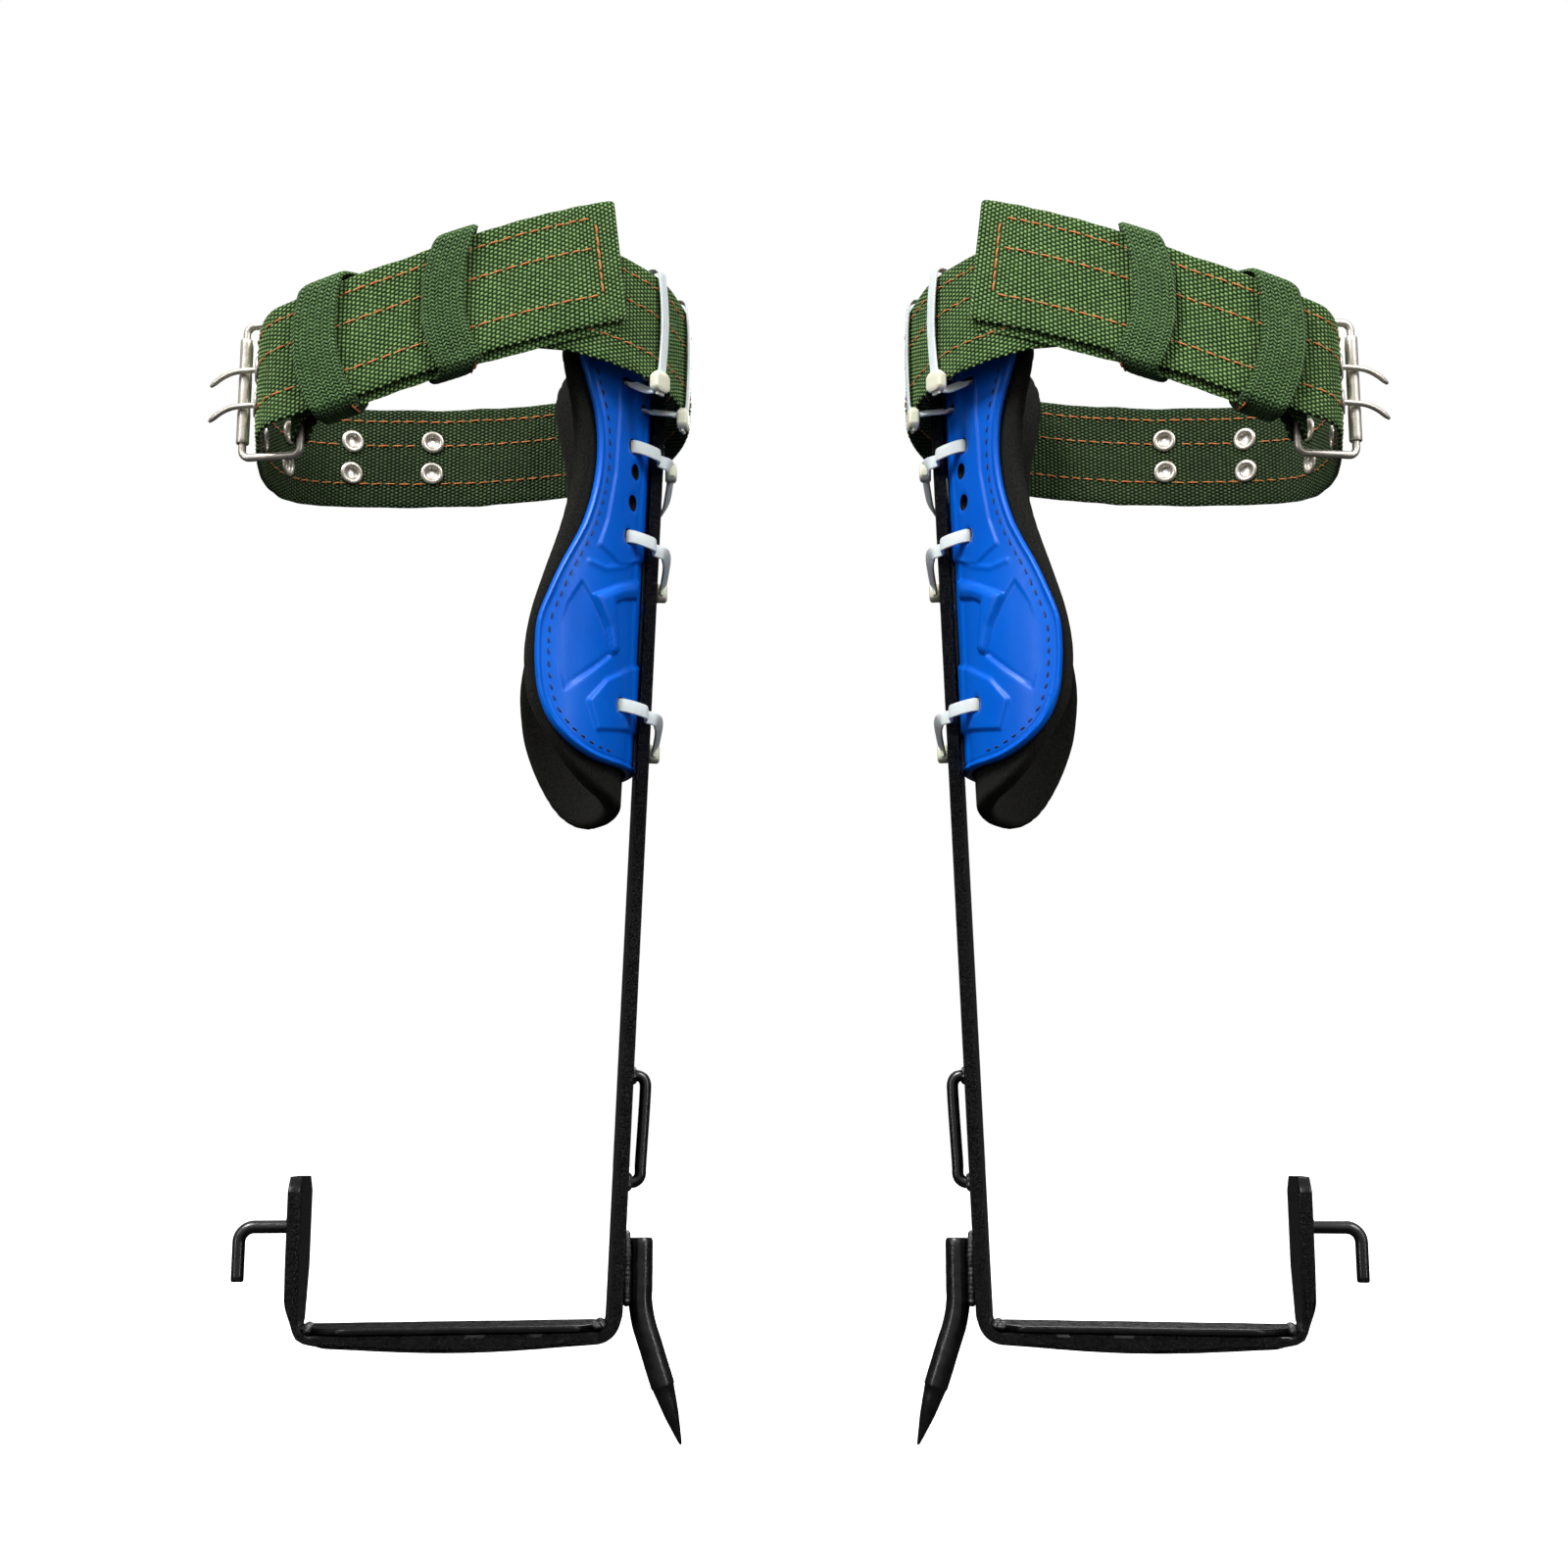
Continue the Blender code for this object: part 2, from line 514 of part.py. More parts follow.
def keeper(side, path, index, x, half, deep, tall, drawn):
    """A loop of webbing round the belt's layers, its front drawn along the belt from its rear."""
    spot, ahead = station(path, x)
    front = Vector((ahead.y, -ahead.x, 0)).normalized()
    out, into = 2.6, deep - 2.6
    top, middle, foot = drawn

    def place(u, v, w):
        return tuple(spot + ahead * u + front * v + Vector((0, 0, w)))

    def corners(u, grow):
        return [place(u + top, out + grow, tall + grow), place(u, -into - grow, tall + grow),
                place(u, -into - grow, -tall - grow), place(u + foot, out + grow, -tall - grow),
                place(u + middle, out + grow, 0.0)]

    loops = [corners(-half, 0.0), corners(half, 0.0), corners(half, KEEPER_WALL), corners(-half, KEEPER_WALL)]
    side.add("keeper_%d" % index, loft(loops, closed=True), "web", pivot=tuple(spot))


def prong_frame(z):
    """u runs from the heel bar to the roller, v outward from the loop."""
    return frame_of((HEEL[0], HEEL[1], z), (ROLLER_XY[0] - HEEL[0], ROLLER_XY[1] - HEEL[1], 0), (0, 0, 1))


def prong(side, name, z):
    """A prong: its eye round the heel bar, then a straight shaft over the roller to a drooping tip."""
    place, eye, reach = prong_frame(z), PRONG_EYE, math.dist(HEEL, ROLLER_XY)
    ring = [(eye * math.cos(math.radians(t)), eye * math.sin(math.radians(t)), 0.0)
            for t in (-150, -110, -70, -30, 10, 50, 90)][::-1]
    ring = [(-u, v, w) for u, v, w in ring[::-1]]
    over = ROLLER_R + PRONG_R + 0.35
    shaft = [(6.0, eye + 0.3, 0.0), (reach - 4.0, over, 0.0), (reach + 4.0, over, -0.6),
             (reach + 10.0, over - 0.9, -2.4), (reach + 14.0, over - 1.8, -5.0)]
    side.add("prong_" + name, tube([place(*p) for p in ring + shaft], PRONG_R, 8), "nickel",
             pivot=(HEEL[0], HEEL[1], z))


def buckle(side):
    (hx, hy), (rx, ry) = HEEL, ROLLER_XY
    low, high = BUCKLE_Z - BUCKLE_HALF, BUCKLE_Z + BUCKLE_HALF
    size = math.hypot(rx - hx, ry - hy)
    ux, uy = (rx - hx) / size, (ry - hy) / size
    corner = 3.0
    path = []
    for u, z, start in ((0, low, 180), (size, low, 270), (size, high, 0), (0, high, 90)):
        cu = u + (corner if u == 0 else -corner)
        cz = z + (corner if z == low else -corner)
        for step in (0, 45, 90):
            t = math.radians(start + step)
            path.append((hx + ux * (cu + corner * math.cos(t)), hy + uy * (cu + corner * math.cos(t)),
                         cz + corner * math.sin(t)))
    side.add("buckle_frame", tube(path, WIRE_R, 8, closed=True), "nickel", pivot=(hx, hy, BUCKLE_Z))
    place = frame_of((rx, ry, BUCKLE_Z), (1, 0, 0), (0, 1, 0))
    half = ROLLER_HALF
    side.add("buckle_roller", lathe(place, ((WIRE_R + 0.4, -half), (ROLLER_R, -half), (ROLLER_R, half),
                                            (WIRE_R + 0.4, half)), 12), "nickel", pivot=(rx, ry, BUCKLE_Z))


def iron(side):
    leg_iron(side)
    foot_plate(side)
    gaff(side)
    rods(side)
    shell, foam = cup(side)
    ties(side, shell, foam)
    belt(side, shell, foam)
    buckle(side)


clear_scene()
iron(Side("left_", -1))
iron(Side("right_", 1))
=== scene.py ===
"""The looks of a pair of strap-on climbing irons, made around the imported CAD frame. Sizes are millimetres in an
iron's own axes: +X across to its shank, +Y to the rear, +Z up, Z = 0 on the tread."""

import json
import math
import random

import bmesh
import bpy
import numpy as np
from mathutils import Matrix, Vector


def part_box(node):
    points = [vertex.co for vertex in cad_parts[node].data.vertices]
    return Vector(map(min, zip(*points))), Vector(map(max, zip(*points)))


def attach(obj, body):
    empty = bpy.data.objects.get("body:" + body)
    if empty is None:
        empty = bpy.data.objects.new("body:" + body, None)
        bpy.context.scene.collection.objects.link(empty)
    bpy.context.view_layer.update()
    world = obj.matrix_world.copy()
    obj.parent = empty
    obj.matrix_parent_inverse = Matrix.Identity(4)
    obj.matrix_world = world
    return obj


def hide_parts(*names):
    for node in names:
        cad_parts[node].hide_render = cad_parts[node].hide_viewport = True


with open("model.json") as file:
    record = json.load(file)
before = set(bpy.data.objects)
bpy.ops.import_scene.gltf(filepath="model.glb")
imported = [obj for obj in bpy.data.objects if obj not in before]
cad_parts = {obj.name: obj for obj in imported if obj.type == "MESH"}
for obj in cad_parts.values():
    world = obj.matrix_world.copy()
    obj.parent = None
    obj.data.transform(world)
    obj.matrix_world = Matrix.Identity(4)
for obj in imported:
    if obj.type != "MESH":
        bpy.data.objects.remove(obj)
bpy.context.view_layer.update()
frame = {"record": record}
BODY_OF = {node: body for body, nodes in frame["record"]["behaviour"]["bodies"].items() for node in nodes}

MM = 0.001
IRON_OFFSET, TOE_IN = 136.5, math.radians(9.0)

# Bent bar
BAR_HALF, BAR_THICK, BAR_ROUND = 15.0, 5.2, 0.9
SHORT_X, SHORT_TOP, SHORT_TWIST = -74.4, 60.5, 0.09
SHANK_TOP_X, SHANK_TOP_Z = 77.6, 440.0
SHANK_FOOT_X, SHANK_FOOT_Z = 62.2, 12.0
BASE_TOP, BASE_BOTTOM, BASE_BOW = -3.1, -8.6, 2.0

# Rods
GAFF_X, GAFF_TOP, GAFF_BEND, GAFF_LEAN = 70.4, 34.4, 4.0, math.radians(18.0)
HOOK_R, HOOK_Z, HOOK_X, HOOK_END = 2.65, 40.0, -95.3, 18.0
LOOP_R, LOOP_LOW, LOOP_HIGH, LOOP_OUT = 2.5, 57.5, 102.5, 4.9

# Calf cup: radius, walls and the (height, half arc) outlines of shell and foam
CUP_R, CUP_THICK, FOAM_THICK, FIT, CUP_BACK_GAP = 48.0, 2.6, 8.0, 1.1, 1.6
CUP_OUTLINE = ((232.5, 33.0), (233.5, 42.0), (236.6, 51.0), (241.6, 59.0), (248.5, 65.6), (257.0, 69.8),
               (266.0, 72.0), (279.0, 73.2), (292.0, 72.6), (306.5, 67.7), (316.5, 63.6), (326.0, 58.9),
               (336.0, 54.4), (349.0, 50.8), (361.0, 49.2), (373.0, 49.4), (385.0, 51.6), (398.0, 56.4),
               (410.0, 60.6), (420.0, 61.4), (429.0, 57.0), (435.0, 47.0), (438.0, 34.0))
CUP_PITCH, FOAM_PITCH, FOAM_SKEW, FOAM_EDGE = 0.87, 1.6, 0.13, 3.4
FOAM_OUTLINE = ((215.5, 18.0), (217.0, 34.0), (221.5, 46.0), (229.0, 56.0), (241.0, 66.0), (254.0, 73.4),
                (266.0, 76.6), (280.0, 77.8), (296.0, 75.6), (313.0, 70.4), (333.0, 63.4), (346.0, 60.0),
                (358.0, 57.9), (372.0, 58.0), (385.0, 59.8), (401.0, 64.6), (413.0, 67.2), (424.0, 66.0),
                (434.0, 59.0), (441.0, 47.0), (444.0, 33.0))

# Belt: (x, y, middle height, upright width) along the webbing, from the sewn end round the heel bar to the
# tail
HEEL, HEEL_TURN = (-80.0, -46.6), 3.1
BUCKLE_Z, BUCKLE_HALF, WIRE_R = 386.5, 29.2, 1.65
ROLLER_XY, ROLLER_R, ROLLER_HALF = (-104.4, -38.4), 2.7, 23.0
PRONG_R, PRONG_RISE = 1.2, 7.75
PRONG_EYE = WIRE_R + 0.35 + PRONG_R
SEWN_END = ((-48.0, -58.8, 408.0, 50.0), (-58.0, -58.6, 403.0, 50.0), (-66.5, -57.0, 398.0, 49.0),
            (-73.6, -52.4, 393.5, 48.0))
WEBBING = ((-79.2, -55.6, 392.0, 48.0), (-71.0, -59.9, 397.0, 49.0), (-59.0, -61.5, 403.0, 50.0),
           (-46.0, -61.7, 409.5, 51.0), (-30.0, -61.8, 416.0, 52.0), (0.0, -61.8, 428.0, 51.0),
           (28.0, -59.4, 430.0, 50.0), (52.0, -52.6, 427.0, 50.0), (72.0, -38.0, 423.0, 49.0),
           (83.5, -18.0, 419.0, 48.0), (87.0, 0.0, 416.0, 48.0), (83.5, 20.0, 412.0, 48.0),
           (72.0, 38.0, 408.0, 48.0), (50.0, 52.0, 404.0, 48.0), (20.0, 60.0, 400.0, 48.0),
           (-20.0, 62.0, 396.0, 48.0), (-54.0, 58.6, 393.0, 48.0), (-74.0, 51.5, 390.5, 48.0),
           (-86.0, 42.5, 388.0, 48.0), (-93.6, 31.0, 386.0, 48.0), (-98.0, 16.0, 385.0, 48.0),
           (-99.8, 1.0, 384.5, 48.0), (-100.0, -14.0, 384.5, 48.0), (-99.2, -28.0, 385.0, 48.0),
           (-98.2, -39.0, 386.0, 48.0), (-97.0, -49.0, 388.0, 48.0), (-92.2, -57.6, 390.5, 49.0),
           (-83.0, -62.2, 393.5, 50.5), (-70.0, -64.0, 398.5, 52.0), (-58.0, -64.6, 403.8, 53.0),
           (-44.0, -65.0, 409.8, 53.6), (-30.0, -65.2, 416.0, 54.0), (0.0, -65.4, 428.4, 54.6),
           (28.0, -63.0, 439.2, 55.2), (52.0, -56.4, 448.5, 56.0))
WEB_CORE, EYELET_CUT, STITCH_CLEAR = 1.75, 3.8, 5.6
KNUCKLE_ALONG, KNUCKLES_ACROSS = 1.9, 28
STITCH_ROWS = (0.23, 0.62, 0.875)
TAIL_BOX, TAIL_LEAN = 11.0, 3.5
# Keepers: x, half width, depth, inside half height, and how far the front is drawn along at its top, middle
# and foot
KEEPERS = ((-61.5, 9.6, 15.6, 29.4, (-11.4, -13.4, -3.7)), (-19.0, 9.6, 10.8, 30.8, (1.5, -4.0, 5.2)))
KEEPER_ROW, KEEPER_COLUMN = 1.75, 1.55

# Ties: belt point, turn about the cup, middle height and half height of the webbing there, height of the low
# slot, bow along the belt, and where the head starts outward and down
TIE_THICK, SHANK_TIE_WIDTH, STRAP_TIE_HALF = 1.1, 5.8, 2.3
BELT_TIES = (((67.6, -42.6), -41.8, 424.0, 26.0, 402.6, 3.6, (1.9, -4.2)),
             ((81.5, -22.5), -22.6, 419.7, 25.2, 395.6, 2.6, (-0.8, -8.8)))
SHANK_TIES = ((375.2, 354.5, -1), (334.2, 313.5, 1), (259.0, 239.5, 1))


# ---- Shapes

class Shape:
    """Vertices, faces and, where given, a (u, v) for each face corner."""

    def __init__(self, verts, faces, uvs=None):
        self.verts, self.faces, self.uvs = np.asarray(verts, float).reshape(-1, 3), faces, uvs


def joined(shapes):
    verts, faces, shift = [], [], 0
    for shape in shapes:
        verts.append(shape.verts)
        faces += [tuple(i + shift for i in face) for face in shape.faces]
        shift += len(shape.verts)
    return Shape(np.vstack(verts), faces)


def unit(v):
    v = np.asarray(v, float)
    return v / np.linalg.norm(v, axis=-1, keepdims=True)


def loft(rings, closed=False, uv=None):
    """A skin through rings of points, (rows, columns, 3), capped at both ends or closed in a loop."""
    rings = np.asarray(rings, float)
    rows, cols = rings.shape[:2]
    faces, uvs = [], []
    for i in range(rows if closed else rows - 1):
        a, b = i * cols, (i + 1) % rows * cols
        for j in range(cols):
            k = (j + 1) % cols
            faces.append((a + j, a + k, b + k, b + j))
            if uv:
                uvs += [uv(i, j), uv(i, j + 1), uv(i + 1, j + 1), uv(i + 1, j)]
    if not closed:
        faces += [tuple(reversed(range(cols))), tuple(range((rows - 1) * cols, rows * cols))]
    return Shape(rings.reshape(-1, 3), faces, uvs or None)


def slab(outer, inner, keep=None, uv=None):
    """A closed panel between two grids of points, walled along its border and round the cells left out."""
    rows, cols = outer.shape[:2]
    keep = np.ones((rows - 1, cols - 1), bool) if keep is None else keep
    skin, faces, uvs = rows * cols, [], []

    def put(*corners):
        faces.append(tuple(i * cols + j + side * skin for i, j, side in corners))
        if uv:
            uvs.extend(uv(i, j) for i, j, _ in corners)

    for i, j in np.argwhere(keep).tolist():
        put((i, j, 0), (i, j + 1, 0), (i + 1, j + 1, 0), (i + 1, j, 0))
        put((i, j, 1), (i + 1, j, 1), (i + 1, j + 1, 1), (i, j + 1, 1))
    padded = np.pad(keep, 1).astype(int)
    for i, j in np.argwhere(padded[1:, 1:-1] != padded[:-1, 1:-1]).tolist():
        put((i, j, 0), (i, j, 1), (i, j + 1, 1), (i, j + 1, 0))
    for i, j in np.argwhere(padded[1:-1, 1:] != padded[1:-1, :-1]).tolist():
        put((i, j, 0), (i + 1, j, 0), (i + 1, j, 1), (i, j, 1))
    return Shape(np.vstack([outer.reshape(-1, 3), inner.reshape(-1, 3)]), faces, uvs or None)


def smooth(points, steps):
    """A Catmull-Rom curve through points of any dimension."""
    p = np.asarray(points, float)
    p = np.vstack([2 * p[0] - p[1], p, 2 * p[-1] - p[-2]])
    t = np.arange(steps)[:, None] / steps
    out = [0.5 * (2 * b + (c - a) * t + (2 * a - 5 * b + 4 * c - d) * t ** 2 + (3 * b - a - 3 * c + d) * t ** 3)
           for a, b, c, d in zip(p, p[1:], p[2:], p[3:])]
    return np.vstack(out + [p[-2:-1]])


def lengths(line, dims=3):
    """How far along a line each of its points is, measured over its first dimensions."""
    return np.concatenate([[0], np.cumsum(np.linalg.norm(np.diff(line[:, :dims], axis=0), axis=1))])


def sampled(line, s, at):
    return np.column_stack([np.interp(at, s, column) for column in line.T])


def respaced(points, pitch, dims=3):
    """The same line with stations an even pitch apart, measured over its first dimensions."""
    p = np.asarray(points, float)
    s = lengths(p, dims)
    return sampled(p, s, np.linspace(0, s[-1], max(2, round(s[-1] / pitch) + 1)))


def filled(corners, pitch, fewest):
    """A closed polygon with points added along its sides."""
    dense = []
    for p, q in zip(corners, corners[1:] + corners[:1]):
        count = max(fewest, int(math.dist(p, q) / pitch))
        dense += [np.array(p) + (np.array(q) - p) * k / count for k in range(count)]
    return np.array(dense)


def tangents(path, closed=False):
    path = np.asarray(path, float)
    if closed:
        return unit(np.roll(path, -1, 0) - np.roll(path, 1, 0))
    return unit(np.gradient(path, axis=0))


def tube(path, radius, sides=16, closed=False, round_ends=0):
    """A round bar along a path, with a radius for all of it or for each point."""
    path = np.asarray(path, float)
    radii = np.broadcast_to(np.asarray(radius, float), len(path)).copy()
    if round_ends and not closed:
        ahead = tangents(path)
        angle = np.linspace(0, math.pi / 2, round_ends + 1)[:-1]
        lead = [path[0] - ahead[0] * radii[0] * math.cos(a) * 0.9 for a in angle]
        tail = [path[-1] + ahead[-1] * radii[-1] * math.cos(a) * 0.9 for a in angle[::-1]]
        ends = np.maximum(np.sin(angle), 0.12)
        path = np.vstack([lead, path, tail])
        radii = np.concatenate([ends * radii[0], radii, ends[::-1] * radii[-1]])
    ahead = tangents(path, closed)
    across = unit(np.cross(ahead[0], (0.31, 0.87, 0.38) if abs(ahead[0][1]) < 0.8 else (1, 0, 0)))
    turn = 2 * math.pi * (np.arange(sides) + 0.5) / sides
    rings = []
    for point, along, r in zip(path, ahead, radii):
        across = unit(across - along * np.dot(across, along))
        ring = np.cos(turn)[:, None] * across + np.sin(turn)[:, None] * np.cross(along, across)
        rings.append(point + r * ring)
    return loft(rings, closed)


def arc(centre, radius, start, end, steps):
    t = np.radians(np.linspace(start, end, steps + 1))
    return np.column_stack([centre[0] + radius * np.cos(t), centre[1] + radius * np.sin(t)])


def rounded_rect(width, height, radius, steps=3):
    """Corner-rounded rectangle about the origin."""
    out = []
    for cx, cy, start in ((1, 1, 0), (-1, 1, 90), (-1, -1, 180), (1, -1, 270)):
        centre = (cx * (width / 2 - radius), cy * (height / 2 - radius))
        out.append(arc(centre, radius, start, start + 90, steps))
    return np.vstack(out)


def frame_of(origin, along, up):
    """Maps (u, v, w) to an iron's axes with u along, w up and v the normal between them."""
    along, up = unit(along), unit(up)
    normal = unit(np.cross(up, along))
    basis = np.array([along, normal, up])
    return lambda points: np.asarray(points, float) @ basis + np.asarray(origin, float)


def lathe(place, profile, sides=28):
    """A ring turned about the v axis of a frame from closed (radius, v) points."""
    turn = 2 * math.pi * np.arange(sides) / sides
    return loft([place([(r * math.cos(t), v, r * math.sin(t)) for r, v in profile]) for t in turn],
                closed=True)


def ripple(points, size, seed, octaves=3):
    """Smooth seeded noise of about unit height with features of this size."""
    points = np.asarray(points, float)
    total, weight, source = np.zeros(points.shape[:-1]), 0.0, np.random.RandomState(seed)
    for octave in range(octaves):
        share = 0.6 ** octave
        for _ in range(5):
            way = unit(source.normal(size=points.shape[-1])) * 2 * math.pi / size * 1.9 ** octave
            total += share * np.sin(points @ way * source.uniform(0.7, 1.3) + source.uniform(0, 6.3))
        weight += share * 2.2
    return total / weight


def near_line(a, z, line):
    """Distance from (a, z) to a line of straight pieces."""
    corners, reach = np.asarray(line, float), []
    for p, d in zip(corners, np.diff(corners, axis=0)):
        t = np.clip(((a - p[0]) * d[0] + (z - p[1]) * d[1]) / (d @ d), 0, 1)
        reach.append(np.hypot(a - p[0] - t * d[0], z - p[1] - t * d[1]))
    return np.min(reach, axis=0)


def inside(a, z, corners):
    """Signed distance to a polygon, positive within it."""
    ring = list(corners) + [corners[0]]
    odd = np.zeros(a.shape, bool)
    for (x0, y0), (x1, y1) in zip(ring, ring[1:]):
        crosses = (y0 > z) != (y1 > z)
        odd ^= crosses & (a < (x1 - x0) * (z - y0) / ((y1 - y0) or 1e-9) + x0)
    return np.where(odd, 1, -1) * near_line(a, z, ring)


def ease(x):
    x = np.clip(x, 0, 1)
    return x * x * (3 - 2 * x)


def fall(distance, radius):
    """How far a rounded edge has fallen at a distance in from it, as a share of its radius."""
    return 1 - np.sqrt(1 - np.clip(1 - distance / radius, 0, 1) ** 2)


# ---- Materials

class Look:
    """A material made of nodes."""

    def __init__(self, name, colour, rough, metal=0.0, **sockets):
        self.mat = bpy.data.materials.new(name)
        self.mat.use_nodes = True
        self.tree = self.mat.node_tree
        self.shader = self.tree.nodes["Principled BSDF"]
        self.shader.inputs["Base Color"].default_value = (*colour, 1)
        self.shader.inputs["Roughness"].default_value = rough
        self.shader.inputs["Metallic"].default_value = metal
        for socket, value in sockets.items():
            self.shader.inputs[socket.replace("_", " ")].default_value = value

    def node(self, kind, *links, **settings):
        made = self.tree.nodes.new(kind)
        for key, value in settings.items():
            setattr(made, key, value)
        for index, value in enumerate(links):
            if value is None:
                continue
            if isinstance(value, bpy.types.NodeSocket):
                self.tree.links.new(value, made.inputs[index])
            else:
                made.inputs[index].default_value = value
        return made

    def math(self, operation, *values):
        return self.node("ShaderNodeMath", *values, operation=operation).outputs[0]

    def noise(self, scale, detail=3.0, rough=0.55):
        made = self.node("ShaderNodeTexNoise")
        made.inputs["Scale"].default_value = scale
        made.inputs["Detail"].default_value = detail
        made.inputs["Roughness"].default_value = rough
        self.tree.links.new(self.node("ShaderNodeTexCoord").outputs["Object"], made.inputs["Vector"])
        return made.outputs["Fac"]

    def ramp(self, value, *stops):
        made = self.node("ShaderNodeValToRGB", value)
        while len(made.color_ramp.elements) < len(stops):
            made.color_ramp.elements.new(0.5)
        for element, (position, colour) in zip(made.color_ramp.elements, stops):
            element.position = position
            element.color = (*colour, 1) if isinstance(colour, tuple) else (colour, colour, colour, 1)
        return made.outputs["Color"]

    def into(self, socket, value):
        self.tree.links.new(value, self.shader.inputs[socket])
        return self

    def bump(self, height, distance, strength=1.0):
        made = self.node("ShaderNodeBump")
        made.inputs["Strength"].default_value = strength
        made.inputs["Distance"].default_value = distance
        self.tree.links.new(height, made.inputs["Height"])
        previous = self.shader.inputs["Normal"]
        if previous.is_linked:
            self.tree.links.new(previous.links[0].from_socket, made.inputs["Normal"])
        self.tree.links.new(made.outputs["Normal"], previous)
        return self


def steel_look(name, tone, rough, coarse, gloss=0.22):
    look = Look(name, (tone,) * 3, rough, Specular_IOR_Level=gloss)
    patches = look.noise(90, 5)
    look.into("Base Color", look.ramp(patches, (0.3, (tone * 0.55, tone * 0.55, tone * 0.58)),
                                      (0.62, (tone, tone, tone * 0.98)), (0.85, (tone * 1.9,) * 3)))
    look.into("Roughness", look.ramp(look.noise(240, 4), (0.3, rough - 0.1), (0.75, rough + 0.14)))
    look.bump(look.noise(1500, 2), 0.00006, 0.5)
    if coarse:
        look.bump(look.ramp(look.noise(820, 4, rough=0.7), (0.36, 0.0), (0.62, 1.0)), 0.0008, coarse)
    return look.mat


def webbing_look(name, dark, mid, light, zigzag):
    """A coarse weave, one knuckle to each unit of the weave map: every other column half a knuckle across, or, with
    a zigzag, rows that climb and fall over each pair of columns."""
    look = Look(name, mid, 0.88, Sheen_Weight=0.08, Sheen_Roughness=0.5, Specular_IOR_Level=0.2)
    calc = look.math
    split = look.node("ShaderNodeSeparateXYZ", look.node("ShaderNodeUVMap", uv_map="weave").outputs[0])
    along, across = split.outputs[0], split.outputs[1]
    if zigzag:
        pair = calc("FRACT", calc("MULTIPLY", across, 0.5))
        slant = calc("MULTIPLY", calc("ABSOLUTE", calc("SUBTRACT", pair, 0.5)), 2 * zigzag)
        along = calc("ADD", along, slant)
    else:
        odd = calc("FLOORED_MODULO", calc("FLOOR", along), 2.0)
        across = calc("ADD", across, calc("MULTIPLY", odd, 0.5))
    one = calc("ABSOLUTE", calc("SINE", calc("MULTIPLY", along, math.pi)))
    two = calc("ABSOLUTE", calc("SINE", calc("MULTIPLY", across, math.pi)))
    if zigzag:
        two = calc("ADD", calc("MULTIPLY", two, 0.55), 0.45)
    height = calc("POWER", calc("MULTIPLY", one, two), 0.8)
    cell = look.node("ShaderNodeCombineXYZ", calc("FLOOR", along), calc("FLOOR", across))
    random_tone = look.node("ShaderNodeTexWhiteNoise", cell.outputs[0],
                            noise_dimensions="3D").outputs["Value"]
    fibre = look.noise(2600, 3)
    # The colour is painted shade and highlight: darker in the gaps between knuckles and lighter on their tops, by
    # knuckle height. The random tone of each knuckle, the fibre and the broad blotches are the cloth's own.
    tone = calc("ADD", calc("MULTIPLY", height, 0.86), calc("MULTIPLY", random_tone, 0.14))
    tone = calc("ADD", tone, calc("MULTIPLY", calc("SUBTRACT", fibre, 0.5), 0.5))
    tone = calc("ADD", tone, calc("MULTIPLY", calc("SUBTRACT", look.noise(30, 3), 0.5), 0.2))
    look.into("Base Color", look.ramp(tone, (0.2, dark), (0.56, mid), (1.0, light)))
    look.bump(height, 0.0009, 0.9).bump(fibre, 0.00015, 0.4)
    return look.mat


def thread_look(name, colour):
    look = Look(name, colour, 0.7, Sheen_Weight=0.2)
    twist = look.noise(1800, 2)
    look.into("Base Color", look.ramp(twist, (0.3, tuple(c * 0.45 for c in colour)), (0.7, colour)))
    return look.bump(twist, 0.0002, 0.6).mat


